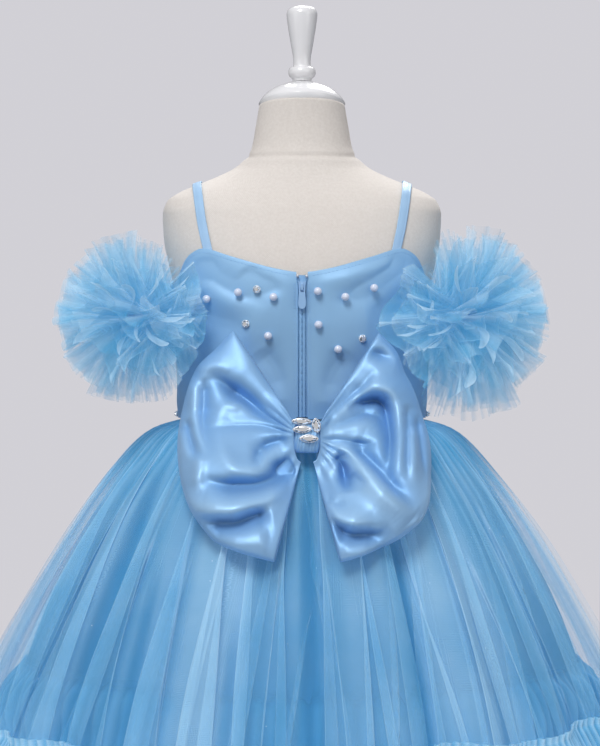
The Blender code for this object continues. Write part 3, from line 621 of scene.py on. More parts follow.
linen, tape, crystal = make_linen(), make_tape(), make_crystal()
lacquer = make_gloss("white_lacquer", (0.81, 0.81, 0.82), (0.85, 0.85, 0.86), 0.22)
painted = make_gloss("painted_metal", (0.31, 0.53, 0.84), (0.36, 0.59, 0.88), 0.30, 0.1)
coil_plastic = make_gloss("coil_plastic", (0.105, 0.285, 0.560), (0.130, 0.330, 0.620), 0.35, 0.0, 0.3)
thread = make_gloss("thread", (0.250, 0.480, 0.780), (0.300, 0.540, 0.830), 0.55, 0.0, 0.0)
silver = make_gloss("silver", (0.84, 0.85, 0.88), (0.92, 0.93, 0.95), 0.28, 0.50, 0.2)
pearl = make_gloss("pearl", (0.64, 0.71, 0.88), (0.76, 0.81, 0.93), 0.20, 0.0, 1.0, 0.10)
set_sheen(pearl.node_tree.nodes["Principled BSDF"], 0.4, (0.95, 0.95, 1.0))
print("hard finishes:", lacquer.name, painted.name, coil_plastic.name, silver.name, pearl.name)

# %% [markdown]
# ## The form
#
# A dress form is a padded shell under a tight linen cover, which has a seam down the centre back
# and one round the neck. Each pulls a shallow groove into the padding, made here as a small move
# inwards. The plain solid has 28 corners round it, and this one has 128.

# %% The torso
NECK_SEAM = 0.2265


def groove(distance, width):
    """1 on a seam, falling to 0 over its width on both sides."""
    return np.exp(-((distance / width) ** 2))


def closed_ends(points, centre_low, centre_high):
    """Adds rows that draw both ends of a tube in to their middles."""
    shares = (0.0, 0.35, 0.75)
    low = [centre_low + (points[0] - centre_low) * share for share in shares]
    high = [centre_high + (points[-1] - centre_high) * share for share in reversed(shares)]
    return np.concatenate([np.array(low), points, np.array(high)], axis=0)


def form_points():
    heights = np.concatenate([np.linspace(-0.108, 0.17, 46), np.linspace(0.174, NECK_TOP, 62)])
    turn, height = np.meshgrid(all_round(128), heights)
    points = body(turn, height)
    around = np.minimum(turn, math.tau - turn) * np.abs(points[..., 1])
    slanted = height - 0.10 * ease(0.19, 0.25, height) * (points[..., 1] - NECK_FORWARD)
    seams = 0.0009 * groove(around, 0.0016) * ease(0.06, 0.11, height) * (slanted < NECK_SEAM)
    seams += 0.0016 * groove(slanted - NECK_SEAM, 0.0016)
    seams -= 0.0006 * groove(slanted - NECK_SEAM + 0.004, 0.003)
    points = points + level(np.array([0, NECK_FORWARD, 0]) - points) * seams[..., None]
    lean = np.clip((height - NECK_SLANT_FROM) / (NECK_TOP - NECK_SLANT_FROM), 0, 1)
    points[..., 2] -= NECK_SLANT * lean * (points[..., 1] - NECK_FORWARD)
    low = np.array([0, 0, WAIST - 0.108])
    high = np.array([0, NECK_FORWARD, WAIST + NECK_TOP])
    return closed_ends(points, low, high)


torso = grid_mesh("form_cover", form_points(), True)
add_piece("form_cover", torso, linen, ["form_torso"])
print("form cover:", len(torso.polygons), "faces")

# %% [markdown]
# ## The cap, the handle and the stand
#
# These are turned on a lathe, so a profile goes round an axis. Only the cap's rim is not: it
# follows the neck's slanted top, and grows level towards the handle.

# %% Turned pieces


def along_curve(points, count):
    """Points spaced along a smooth curve through a few given ones."""
    points = np.array(points, float)
    run = lengths_along(points[:, None], 0)[:, 0]
    at = np.linspace(0, run[-1], count)
    return np.stack([smooth_read(run, points[:, i], at) for i in range(points.shape[1])], -1)


def turned(name, profile, centre, finish, replaces, count=44, across=56):
    """A piece from a profile of (radius, height) turned round an upright axis."""
    radius, height = along_curve(profile, count).T
    turns = all_round(across)
    x = centre[0] + radius[:, None] * np.sin(turns)
    y = centre[1] - radius[:, None] * np.cos(turns)
    mesh = grid_mesh(name, spots(x, y, centre[2] + height[:, None]), True)
    return add_piece(name, mesh, finish, replaces)


# radius, height above the neck's top, share of the neck's slant
DOME = (
    (0.035, -0.0004, 1), (0.0366, 0.0002, 1), (0.0377, 0.0022, 1), (0.0366, 0.0055, 0.93),
    (0.0325, 0.011, 0.75), (0.025, 0.017, 0.5), (0.015, 0.0215, 0.25), (0.0085, 0.0235, 0),
    (0, 0.0236, 0),
)
# radius, height above the foot of the handle
HANDLE = (
    (0, 0), (0.008, 0), (0.0083, 0.002), (0.0105, 0.0038), (0.0119, 0.0075), (0.0108, 0.0112),
    (0.0076, 0.0126), (0.0074, 0.016), (0.0098, 0.033), (0.0118, 0.045), (0.013, 0.054),
    (0.0133, 0.058), (0.0118, 0.062), (0.007, 0.0643), (0, 0.065),
)
BASE = (
    (0, 0), (0.136, 0), (0.14, 0.0015), (0.14, 0.004), (0.137, 0.007), (0.128, 0.009),
    (0.03, 0.014), (0, 0.014),
)


def cap_points():
    radius, height, slant = along_curve(DOME, 30).T[:, :, None]
    turns = all_round(64)
    x, y = radius * np.sin(turns), -radius * np.cos(turns)
    z = WAIST + NECK_TOP + height - NECK_SLANT * slant * y
    return spots(x, NECK_FORWARD + y, z)


add_piece("cap", grid_mesh("cap", cap_points(), True), lacquer, ["form_cap"])
handle_foot = WAIST + NECK_TOP + 0.0238
turned("handle", HANDLE, (0, NECK_FORWARD, handle_foot), lacquer, ["form_finial"], 76)
pole_low, pole_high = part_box("stand_pole")
base_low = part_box("stand_base")[0]
POLE = [(0, 0), (0.0125, 0), (0.0125, 0.004), (0.0125, 0.2), (0.0125, pole_high.z - pole_low.z)]
turned("pole", POLE, (0, 0, pole_low.z), lacquer, ["stand_pole"])
turned("base", BASE, (0, 0, base_low.z), lacquer, ["stand_base"], 90, 96)
print("the handle's top is", round(handle_foot + HANDLE[-1][1], 4), "m up")

# %% [markdown]
# ## Folds in flat cloth
#
# Stretched or bunched satin shows a few long creases, which are listed one by one. Each is a short
# curve on the cloth, sharp at its line and dying away softly at its own width to either side. A
# ridge is a crease with a negative depth.

# %% Listed creases


def crease_field(x, z, creases):
    """How far each point goes in, from creases in millimetres as (line, depth, left, right)."""
    total = np.zeros(np.broadcast(x, z).shape)
    for line, deep, left, right in creases:
        path = along_curve(np.reshape(line, (-1, 2)) / 1000, 22)
        nearest = np.full(total.shape, np.inf)
        amount = np.zeros(total.shape)
        for i, (start, end) in enumerate(zip(path[:-1], path[1:])):
            step = end - start
            length = np.hypot(*step)
            off_x, off_z = x - start[0], z - start[1]
            share = np.clip((off_x * step[0] + off_z * step[1]) / length**2, 0, 1)
            gap = np.hypot(off_x - share * step[0], off_z - share * step[1])
            side = step[0] * off_z - step[1] * off_x
            width = np.where(side > 0, left, right) / 1000
            at = (i + share) / (len(path) - 1)
            fade = np.minimum(1, at / 0.16) * np.minimum(1, (1 - at) / 0.34)
            round_off = (0.25 if deep > 0 else 0.60) * width
            value = fade * np.exp(-(((np.sqrt(gap**2 + round_off**2) - round_off) / width) ** 1.3))
            closer = gap < nearest
            nearest = np.where(closer, gap, nearest)
            amount = np.where(closer, value, amount)
        total += amount * deep / 1000
    return total


print("a crease is given as its line, depth and two widths in millimetres")

# %% [markdown]
# ## The bodice
#
# The bodice is cut in three: a front, and two backs that meet the zip. Each is a sheet from the
# waist to the neckline, standing just off the form. Satin edges are turned in, so it runs over the
# top in a small round roll and a little way down inside.

# %% The neckline and the bodice's panels
# turn in degrees from the centre back, height above the waist
NECKLINE_ROWS = (
    (0, 0.123), (8, 0.127), (24, 0.1365), (40, 0.144), (48, 0.14), (68, 0.118), (90, 0.112),
    (112, 0.118), (132, 0.14), (140, 0.144), (156, 0.133), (180, 0.126),
)
BODICE_FOOT = 0.0018
ZIP_HALF_WIDTH = 0.0047


def neckline(turn):
    degrees = np.abs(np.degrees(np.asarray(turn, float)))
    return read_row(NECKLINE_ROWS, np.where(degrees > 180, 360 - degrees, degrees))[0]


def panel_points(turns, up):
    """A panel from the waist up, over a rolled top edge and down inside."""
    shares = np.linspace(0, 1, up)
    top = neckline(turns)
    height = BODICE_FOOT + (top - BODICE_FOOT - SATIN / 2) * shares[:, None]
    out = np.full(height.shape, OUTSIDE)
    roll = np.linspace(0.3, math.pi, 6)[:, None]
    over = top - SATIN / 2 + SATIN / 2 * np.sin(roll)
    over_out = EASE + SATIN / 2 + SATIN / 2 * np.cos(roll) + 0 * turns
    inner = top - SATIN / 2 - np.array([[0.003], [0.008]])
    inner_out = np.full(inner.shape, EASE)
    heights = np.concatenate([height, over, inner])
    outs = np.concatenate([out, over_out, inner_out])
    return body(turns + 0 * heights, heights, outs), heights


# The drag lines, x and height along each, in millimetres from the centre back and the waist
BACK_DRAGS = (
    ((-92, 136, -74, 118, -46, 104, -26, 99), 1.5, 11, 7),
    ((-84, 118, -60, 103, -36, 97), -0.9, 8, 9),
    ((-50, 126, -34, 113, -12, 108), 1, 8, 6),
    ((-93, 96, -70, 84, -40, 80), 0.9, 10, 12),
    ((90, 138, 70, 122, 44, 106, 22, 101), 1.5, 8, 12),
    ((78, 140, 58, 126, 36, 117, 16, 114), -0.9, 8, 8),
    ((94, 100, 76, 92, 52, 89), 1.1, 12, 9),
    ((-34, 60, -20, 40, -14, 18), 0.8, 8, 10),
    ((38, 58, 24, 38, 18, 16), 0.8, 10, 8),
    ((-98, 60, -82, 44, -62, 30), 1.2, 10, 12),
    ((98, 64, 84, 46, 60, 32), 1.2, 12, 10),
)
FRONT_DRAGS = (
    ((-90, 136, -64, 116, -34, 106), 1.3, 7, 11),
    ((86, 138, 60, 114, 30, 108), 1.2, 11, 8),
    ((-92, 84, -66, 70, -40, 66), 1.1, 9, 12),
    ((94, 90, 70, 72, 44, 70), 1, 12, 9),
    ((-52, 40, -34, 26, -20, 10), 0.9, 9, 9),
    ((50, 44, 36, 28, 24, 10), 0.9, 9, 9),
)


def pressed(points, turns, drags):
    """Moves a panel's points out by a little ease, and in along its drag lines."""
    x, height = points[..., 0], points[..., 2] - WAIST
    free = ease(0, 0.02, height) * ease(0, 0.012, neckline(turns) - height)
    slow = 0.0006 * np.sin(x * 55 + height * 30 + 0.7) * np.sin(height * 75 - x * 20)
    drawn = np.clip(3.2 * crease_field(x, height, drags), -0.0048, 0.0024)
    amount = free * (0.0016 + slow - drawn)
    beside_zip = ease(0.004, 0.020, np.abs(x)) + (points[..., 1] > 0)
    amount = amount * np.clip(beside_zip, 0, 1)
    return points + level(points) * amount[..., None]


def turn_at(x, height):
    """The turn, behind the body, at which the form's section has this x."""
    half, _, _, square = read_row(BODY_ROWS, height)
    return np.arcsin(np.clip(x / half, 0, 1) ** (square / 2))


def zip_edge(points):
    """Moves a back panel's edge straight beside the zip."""
    for edge in (0, -1):
        if abs(points[20, edge, 0]) < 0.02:
            points[:, edge, 0] = np.sign(points[20, edge, 0]) * ZIP_HALF_WIDTH
    return points


def build_bodice():
    zip_turn = float(turn_at(ZIP_HALF_WIDTH, 0.06))
    side = math.pi / 2 - 0.0015
    spans = {
        "bodice_back_left": (-side, -zip_turn, 110, BACK_DRAGS),
        "bodice_back_right": (zip_turn, side, 110, BACK_DRAGS),
        "bodice_front": (math.pi - side, math.pi + side, 190, FRONT_DRAGS),
    }
    for name, (first, last, across, drags) in spans.items():
        turns = np.linspace(first, last, across)
        points, heights = panel_points(turns, 72)
        points = zip_edge(pressed(points, turns + 0 * heights, drags))
        worn = ("satin", "stretched", ["form_cover"], [name])
        add_sheet(f"{name}_cloth", points, bodice_satin, *worn)


build_bodice()

# %% [markdown]
# ## The zip
#
# This zip has a coil on each tape. From the right side one sees the line where the tapes meet, and
# beside it two rows of small dark stitches that hold the coils. Above the slider the rows part.

# %% Tape and coil
ZIP_FOOT = 0.0035
STITCH_PITCH = 0.0013
ROW_APART = 0.0030
SLIDER_HEIGHT = float(neckline(0)) - 0.012


def back_y(height, out):
    """The depth of the centre back at a height."""
    return float(body(0.0, height, out)[1])


def build_tape():
    heights = np.linspace(ZIP_FOOT, float(neckline(0)) - 0.002, 90)
    half = np.array([0.0115, 0.0062, 0.0046, 0.0036, 0.0026, 0.0019])
    raised = np.array([-0.0022, -0.0020, 0.0000, 0.0004, 0.0000, 0.0004])
    across = np.concatenate([-half, [0.0], half[::-1]])
    lift = np.concatenate([raised, [0.0006], raised[::-1]])
    depth = body(0 * heights, heights, EASE + 0.0016)[:, 1]
    parted = ease(SLIDER_HEIGHT, SLIDER_HEIGHT + 0.005, heights)[:, None] * (np.abs(across) < 0.003)
    depth = depth[:, None] - lift + 0.0018 * parted
    points = spots(across, depth, WAIST + heights[:, None])
    worn = ("zip", "stretched", ["form_cover"], ["zip_tape"])
    add_sheet("zip_tape_cloth", points, tape, *worn)


def rounded_box(target, centre, size, turn=0.0):
    """Adds a small box with softened corners to a bmesh."""
    made = bmesh.ops.create_cube(target, size=1.0)["verts"]
    spin = Matrix.Rotation(turn, 3, "Y")
    for corner in made:
        corner.co = Vector(centre) + spin @ Vector([c * s for c, s in zip(corner.co, size)])
    edges = list({edge for corner in made for edge in corner.link_edges})
    bmesh.ops.bevel(target, geom=edges, offset=min(size) * 0.28, segments=2, affect="EDGES")


def mesh_from(solid, name):
    mesh = bpy.data.meshes.new(name)
    solid.to_mesh(mesh)
    solid.free()
    return smoothed(mesh)


def build_coil():
    """The stitches over the coil, the line where the tapes meet, and the top stops."""
    solid, stops = bmesh.new(), bmesh.new()
    top = float(neckline(0)) - 0.0035
    heights = np.arange(ZIP_FOOT + 0.0008, top, STITCH_PITCH)
    for height in heights:
        open_here = float(ease(SLIDER_HEIGHT, top, height))
        apart = ROW_APART + 0.0012 * open_here
        for side in (-1, 1):
            place = (side * apart, back_y(height, EASE) - 0.0024, WAIST + height)
            rounded_box(solid, place, (0.0010, 0.0009, 0.00085), 0.25 * side * open_here)
    for height in np.arange(ZIP_FOOT, SLIDER_HEIGHT, 0.006):
        place = (0, back_y(height + 0.003, EASE) - 0.0023, WAIST + height + 0.003)
        rounded_box(solid, place, (0.0006, 0.0008, 0.0061))
    add_piece("zip_coil", mesh_from(solid, "zip_coil"), coil_plastic)
    for side in (-1, 1):
        place = (side * (ROW_APART + 0.0008), back_y(top, EASE) - 0.0027, WAIST + top + 0.0008)
        rounded_box(stops, place, (0.0022, 0.0017, 0.0026))
    add_piece("zip_stops", mesh_from(stops, "zip_stops"), silver)
    print("stitches over the coil:", 2 * len(heights))


build_tape()
build_coil()

# %% [markdown]
# The slider is a small cast body with a bridge over it, and the tab hangs from the bridge. The tab
# is the gown's one moving part, so it rides on its own body.

# %% Slider and tab


def refined(name, source, body_name, bevel):
    """A finer copy of a small metal piece, with its edges rounded."""
    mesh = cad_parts[source].data.copy()
    mesh.materials.clear()
    mesh.materials.append(painted)
    piece = add_piece(name, mesh, painted, [source], body_name)
    round_edges = piece.modifiers.new("round edges", "BEVEL")
    round_edges.width = bevel
    round_edges.segments = 3
    round_edges.limit_method = "ANGLE"
    round_edges.angle_limit = math.radians(35)
    smoothed(mesh).set_sharp_from_angle(angle=math.radians(50))


refined("slider", "zip_slider", GOWN, 0.0004)
refined("tab", "zip_pull_tab", TAB, 0.0003)
print("slider and tab at", round(SLIDER_HEIGHT, 4), "above the waist")

# %% [markdown]
# ## Stitching
#
# The bodice is top-stitched along its upper edge and down both sides of the zip. A stitch dips
# into the cloth at both ends, so it is a small spindle of six-sided rings, laid along a line on the
# finished sheet.

# %% Stitches
STITCH_LONG, STITCH_GAP, THREAD = 0.0024, 0.0009, 0.00021
# each ring's place along the stitch, thickness and lift
STITCH_RINGS = (
    (-1.0, 0.30, -0.0003), (-0.7, 0.85, 0.0), (0.0, 1.0, 0.0), (0.7, 0.85, 0.0), (1.0, 0.30, -0.0003),
)


def ring_faces(first, rings, count):
    """Faces between rings of points that follow each other, from the point numbered first."""
    low = first + count * np.arange(rings - 1)[:, None]
    here = np.arange(count)
    after = (here + 1) % count
    corners = [low + here, low + after, low + after + count, low + here + count]
    return np.stack(corners, -1).reshape(-1, 4).tolist()


def read_along(length, columns, place):
    return np.array([np.interp(place, length, column) for column in columns.T])


def add_stitches(name, lines, finish):
    """Rows of stitches along lines, each as its points and the directions outward."""
    corners, faces = [], []
    for points, outward in lines:
        length = lengths_along(points, 0)
        for place in np.arange(STITCH_LONG, length[-1] - STITCH_LONG, STITCH_LONG + STITCH_GAP):
            here = read_along(length, points, place)
            ahead = read_along(length, points, place + 0.0005) - here
            ahead /= np.linalg.norm(ahead)
            up = read_along(length, outward, place)
            across = np.cross(ahead, up)
            faces += ring_faces(len(corners), len(STITCH_RINGS), 6)
            for step, thick, sink in STITCH_RINGS:
                middle = here + ahead * step * STITCH_LONG / 2 + up * sink
                for a in all_round(6):
                    corners.append(middle + THREAD * thick * (across * math.cos(a) + up * math.sin(a)))
    print(f"{name}: {len(faces) // 24} stitches")
    add_piece(name, mesh_of(name, corners, faces), finish)


def bodice_line(turns, heights, drags):
    """A line on the bodice's right side, and the level directions out of it."""
    points = pressed(body(turns, heights, OUTSIDE + 0.0001), turns, drags)
    return points, level(points)


def build_bodice_stitches():
    behind = np.linspace(-0.5 * math.pi, 0.5 * math.pi, 400)
    behind = behind[np.abs(behind) > float(turn_at(ZIP_HALF_WIDTH + 0.002, 0.12))]
    before = np.linspace(0.5 * math.pi, 1.5 * math.pi, 400)
    edges = ((behind[behind < 0], BACK_DRAGS), (behind[behind > 0], BACK_DRAGS), (before, FRONT_DRAGS))
    lines = [bodice_line(turns, neckline(turns) - 0.0034, drags) for turns, drags in edges]
    heights = np.linspace(0.006, float(neckline(0)) - 0.0045, 160)
    for side in (-1, 1):
        turns = np.array([side * float(turn_at(ZIP_HALF_WIDTH + 0.0016, height)) for height in heights])
        lines.append(bodice_line(turns, heights, BACK_DRAGS))
    add_stitches("bodice_stitches", lines, thread)


build_bodice_stitches()

# %% [markdown]
# ## The shoulder straps
#
# A strap is a satin ribbon laid over the shoulder. For each angle from behind to before, a ray
# from inside the form finds the surface by halving the distance. A shallow roll across the ribbon
# makes its edges stand up a little, with small dents for the stitching.

# %% Straps
STRAP_WIDTH = 0.0076
STRAP_LOW_X, STRAP_HIGH_X = 0.0745, 0.0900
STRAP_CENTRE_Y, STRAP_CENTRE = -0.004, 0.130
# across half the ribbon, as a share of its width, and how far that point stands out
RIBBON = (
    (0.05, 0.0001), (0.3, 0.0001), (0.45, 0.0002), (0.5, 0.0006), (0.47, 0.001), (0.4, 0.0012),
    (0.33, 0.001), (0.22, 0.0012), (0.1, 0.0013),
)


def inside_form(x, y, height):
    half, back, front, square = read_row(BODY_ROWS, height)
    depth = np.where(y < 0, back, front)
    return (np.abs(x) / half) ** square + (np.abs(y) / depth) ** square < 1


def furthest(inside, low, high, rounds):
    """The furthest value between low and high that is still inside, by halving."""
    for _ in range(rounds):
        middle = (low + high) / 2
        within = inside(middle)
        low, high = np.where(within, middle, low), np.where(within, high, middle)
    return low


def strap_surface(x, angle, out):
    """Points over the shoulder, on rays at an angle from behind."""
    x, angle = np.broadcast_arrays(x, angle)

    def ray(reach):
        return STRAP_CENTRE_Y - np.cos(angle) * reach, STRAP_CENTRE + np.sin(angle) * reach

    reach = furthest(lambda at: inside_form(x, *ray(at)), np.zeros(x.shape), 0.12, 32)
    y, height = ray(reach + out)
    return spots(x, y, WAIST + height)


def strap_foot(point):
    """The neckline's height where the strap's line meets it."""
    turn = float(turn_at(min(abs(point[0]), 0.1), max(0.0, point[2] - WAIST)))
    return float(neckline(turn if point[1] < 0 else math.pi - turn))


def build_straps():
    half = np.array(RIBBON)
    across = np.concatenate([-half[:, 0], [0.0], half[::-1, 0]])
    rise = np.concatenate([half[:, 1], [0.0013], half[::-1, 1]])
    steps = 170
    share = np.linspace(0, 1, steps)[:, None]
    angle = -0.02 + (math.pi + 0.04) * share
    seam = groove(np.abs(across) - 0.33, 0.05) * (rise > 0.0008)
    for side, name in ((-1, "left"), (1, "right")):
        middle = STRAP_LOW_X + (STRAP_HIGH_X - STRAP_LOW_X) * np.sin(np.pi * share) ** 0.85
        ripple = 0.0004 * np.sin(share * 33 + side) * across + 0.0002 * np.sin(share * 61)
        out = EASE + rise + ripple * (rise > 0.0008) - 0.00014 * seam * np.sin(share * steps * 1.9)
        points = strap_surface(middle + across * STRAP_WIDTH, angle, out)
        points[..., 0] *= side
        line = points[:, len(across) // 2]
        keep = line[:, 2] - WAIST > np.array([strap_foot(point) for point in line]) - 0.004
        worn = ("satin", "stretched", ["form_cover"], [f"strap_{name}"])
        add_sheet(f"strap_{name}_cloth", points[keep], strap_satin, *worn)


build_straps()

# %% [markdown]
# ## The skirt's layers
#
# Under the net there is an opaque underskirt, which gives the gown its deep blue where the net
# parts. Over it hang two layers of net, gathered into the waist. Where a sheet's turn runs forward,
# back and forward again, the net folds over itself three layers thick, which draws a pale band.

# %% The skirt's sections
# drop below the waist, half width, depth behind, depth before, squareness, fold depth
SKIRT_ROWS = (
    (0.000, 0.1052, 0.0812, 0.0857, 2.3, 0.0006),
    (0.005, 0.1220, 0.0980, 0.1020, 2.2, 0.0014),
    (0.013, 0.1350, 0.1110, 0.1150, 2.1, 0.0022),
    (0.034, 0.1550, 0.1315, 0.1355, 2.0, 0.0034),
    (0.080, 0.1895, 0.1665, 0.1705, 2.0, 0.0048),
    (0.145, 0.2290, 0.2060, 0.2100, 2.0, 0.0062),
    (0.220, 0.2690, 0.2460, 0.2500, 2.0, 0.0076),
    (0.298, 0.3030, 0.2800, 0.2840, 2.0, 0.0088),
)
LINING_ROWS = (
    (0.004, 0.1052, 0.0812, 0.0854, 2.3),
    (0.014, 0.1180, 0.0940, 0.0980, 2.2),
    (0.034, 0.1400, 0.1160, 0.1200, 2.0),
    (0.080, 0.1740, 0.1505, 0.1545, 2.0),
    (0.160, 0.2180, 0.1945, 0.1985, 2.0),
    (0.262, 0.2540, 0.2305, 0.2345, 2.0),
)
MAIN_FOLDS = 24
MOST_COVER = 0.93  # no net closes more of the view


def skirt_surface(even, drop, out):
    """The net's main surface. even runs evenly round the cloth, and the folds are spaced as given."""
    turn = even + 0.035 * np.sin(2 * even) + 0.030 * np.sin(3 * even + 1.1) - 0.030 * math.sin(1.1)
    *sizes, fold = read_row(SKIRT_ROWS, drop)
    x, y = section(turn, *sizes)
    points = spots(x, y, WAIST - drop)
    wave = np.cos(MAIN_FOLDS * even) * (0.80 + 0.20 * np.sin(2.5 * even + 0.7) ** 2)
    return points + level(points) * (fold * wave + out)[..., None]


def lining_surface(turn, drop, out):
    x, y = section(turn, *read_row(LINING_ROWS, drop))
    points = spots(x, y, WAIST - drop)
    return points + level(points) * out[..., None]


def cover_of(points, single):
    """How much of the view a gathered sheet closes: more where its width is drawn together."""
    widths = np.linalg.norm(np.diff(points, axis=1), axis=-1)
    widths = np.concatenate([widths, widths[:, -1:]], axis=1)
    mean = widths.mean(axis=1, keepdims=True)
    drawn = np.clip(mean.max() / mean, 1, 12)
    return np.clip(1 - (1 - single) ** drawn, 0, MOST_COVER) + 0 * widths


print("the skirt's hem is", round(2 * SKIRT_ROWS[-1][1], 3), "m across")

# %% [markdown]
# ### Laps
#
# A lap is one place where the net folds over itself. The laps behind are placed one by one, with
# open gaps between them. Those in front are drawn from a seeded random row, to be as uneven.

# %% Laps in the net
# turn at the hem in degrees, width in degrees, overlap, start below the waist, lean, front side
BACK_LAPS = (
    (-86, 2.4, 2.6, 0, 3, 1), (-78, 2.2, 3, 0.02, 4, -1), (-70, 2.6, 2.6, 0, 5, 1),
    (-62, 2, 3, 0.03, 5, -1), (-54.4, 2.2, 3, 0, 4, 1), (-47.5, 1.7, 2.6, 0.04, 6, -1),
    (-42, 2.4, 3.2, 0, 4, -1), (-35, 2.2, 3.2, 0, 2, 1), (-29, 1.4, 2.6, 0.07, 5, -1),
    (-24.2, 1.9, 3.2, 0, 1, 1), (-20.4, 1.2, 2.4, 0.05, 4, -1), (-17.1, 1.3, 2.8, 0, -1, 1),
    (-13.3, 1.7, 3, 0.02, 2, -1), (-8.9, 1.5, 2.8, 0, 2.5, 1), (-6, 1.1, 2.4, 0.08, -2, -1),
    (-2.9, 1.4, 3, 0, 1, -1), (4.2, 1.6, 3, 0, 0, 1), (7.2, 1, 2.4, 0.09, 2.5, 1),
    (9.8, 1.1, 2.6, 0.03, -2, -1), (13, 1.4, 2.8, 0, 1, -1), (17.2, 1.9, 3.2, 0, -2, -1),
    (22.3, 1.6, 3, 0, -2, 1), (26, 1.2, 2.4, 0.06, 3, -1), (30.5, 1.9, 3, 0, -3, 1),
    (36.4, 1.8, 2.8, 0.03, -4, -1), (41.5, 1.5, 2.4, 0.08, 1, 1), (46.9, 2.2, 3.2, 0, -5, -1),
    (52.5, 1.6, 2.6, 0.05, -3, 1), (58, 2.4, 2.8, 0, -5, -1), (65, 2, 2.6, 0.02, -5, 1),
    (72.5, 2.4, 3, 0, -4, -1), (80, 2.4, 2.6, 0.02, -4, 1),
)
# turn at the hem in degrees, half width in degrees, lean, how much paler
PANELS = (
    (10, 6.6, 0.5, 0.14), (30.5, 10, -3, 0.3), (-15, 6.2, 1, 0.38), (-26, 3.2, 2, 0.1),
    (-42, 4.6, 4, 0.16),
)
# turn at the hem in degrees, half width in degrees, start below the waist, lean
GAPS = (
    (-38.6, 1.9, 0.02, 3), (-26.8, 1, 0.1, 3), (-11, 1, 0.14, 2), (1.2, 1.5, 0.02, 0.5),
    (19.8, 1.4, 0.07, -2), (33.4, 1.2, 0.12, -3), (50, 1.3, 0.06, -4),
)
# each panel's first and last seam, in quarters of the round from the centre back
OUTER_PARTS = {"back_right": (0, 1), "front": (1, 3), "back_left": (3, 4)}
SECOND_PARTS = {"right": (0, 2), "left": (2, 4)}


def front_laps(seed, count):
    chance = np.random.default_rng(seed)
    places = np.linspace(88, 272, count) + chance.uniform(-2, 2, count)
    widths, overlaps = chance.uniform(1.3, 2.6, count), chance.uniform(2.4, 3.2, count)
    starts = chance.choice([0.0, 0.0, 0.02, 0.05], count)
    leans = -4 * np.cos(np.radians(places)) * np.sign(180 - places) + chance.uniform(-2, 2, count)
    return tuple(zip(places, widths, overlaps, starts, leans, chance.choice([-1, 1], count)))


def beside(even, drop, place, width, lean):
    """How many widths each point lies beside a line that leans as it goes up."""
    here = math.radians(place) - math.radians(lean) * (1 - drop / SKIRT_ROWS[-1][0]) ** 1.5
    return half_turned(even - here) / math.radians(width)


def lapped(even, drop, laps, lift):
    """Where places round the cloth go when it folds over itself, and how far out."""
    moved, out = even.copy(), np.zeros(even.shape)
    for place, width, overlap, start, lean, side in laps:
        along = beside(even, drop, place, width, lean)
        near = np.exp(-(along**2))
        grow = ease(start - 0.004, start + 0.05, drop) * (0.45 + 0.55 * ease(0, 0.2, drop))
        moved -= math.radians(width) * overlap * along * near * grow
        out += side * lift * np.tanh(2.2 * along) * np.exp(-((along / 1.8) ** 2)) * grow
    return moved, out


def in_parts(parts, across):
    """Each part's name, and its columns in a sheet that goes once round."""
    for part, (first, last) in parts.items():
        yield part, np.s_[:, first * across // 4 : last * across // 4 + 1]


def net_panels(name, laps, lift, inset, single, tone, across, down, parts):
    """One layer of net in panels between the side seams and the centre back."""
    cloth_places = np.linspace(0, math.tau, across + 1)
    drops = SKIRT_ROWS[-1][0] * np.linspace(0, 1, down) ** 1.25
    even, drop = np.meshgrid(cloth_places, drops)
    moved, out = lapped(even, drop, laps, lift)
    settle = 0.25 + 0.75 * ease(0.0, 0.12, drop)
    out = out * settle * (1 - 0.45 * ease(0.20, 0.26, drop))
    gathers = np.cos(173 * even + 2 * np.sin(5 * even)) * (1 - ease(0, 0.11, drop))
    folds = np.cos(61 * even + 3 * np.sin(4 * even) + 5 * drop)
    fine = 0.0007 * gathers + 0.0009 * folds * settle
    sag = 0.0015 * np.sin(29 * even + 22 * drop + 1.0) * ease(0.05, 0.2, drop)
    points = skirt_surface(moved, drop, out + fine + sag - inset * ease(0, 0.05, drop))
    pace = np.abs(np.gradient(moved, axis=1)) / (cloth_places[1] - cloth_places[0])
    bunched = np.clip(1 - pace / 0.9, 0, 1)
    gap, panel = np.zeros(even.shape), np.zeros(even.shape)
    for place, width, start, lean in GAPS:
        near = np.exp(-(beside(moved, drop, place, width, lean) ** 4))
        gap += near * ease(start, start + 0.06, drop)
    for place, width, lean, paler in PANELS:
        near = np.exp(-(beside(moved, drop, place, width, lean) ** 6))
        panel += paler * near * ease(0.02, 0.12, drop)
    # Tone: paler where the net laps over itself and in the broad panels, darker in the gaps; painted light
    # on the crests of the gathers and folds and painted shade in their troughs. It is also darker towards
    # the waist and lower down.
    tones = tone + 0.50 * bunched + 0.12 * gathers + 0.07 * folds + panel - 0.3 * gap
    tones = tones - 0.20 * ease(0.08, 0.0, drop) - 0.08 * ease(0.12, 0.24, drop)
    at_side = np.abs(np.abs(half_turned(even)) - math.pi / 2)
    thin = 1 - 0.78 * np.exp(-((at_side / 0.46) ** 2)) * ease(0.01, 0.08, drop)
    thin = thin * (1 - 0.20 * ease(0.10, 0.22, drop))
    cover = cover_of(points, single) * (1 - 0.55 * np.clip(gap, 0, 1)) * thin
    cover = np.clip(cover + 0.22 * bunched + 0.05 * gathers + 0.45 * panel, 0, MOST_COVER)
    lining = ["underskirt_back", "underskirt_front"]
    for part, run in in_parts(parts, across):
        worn = (skirt_tulle, lining, [f"skirt_{part}"] if parts == OUTER_PARTS else [])
        add_net(f"{name}_{part}", points[run], *worn, cover[run], tones[run])


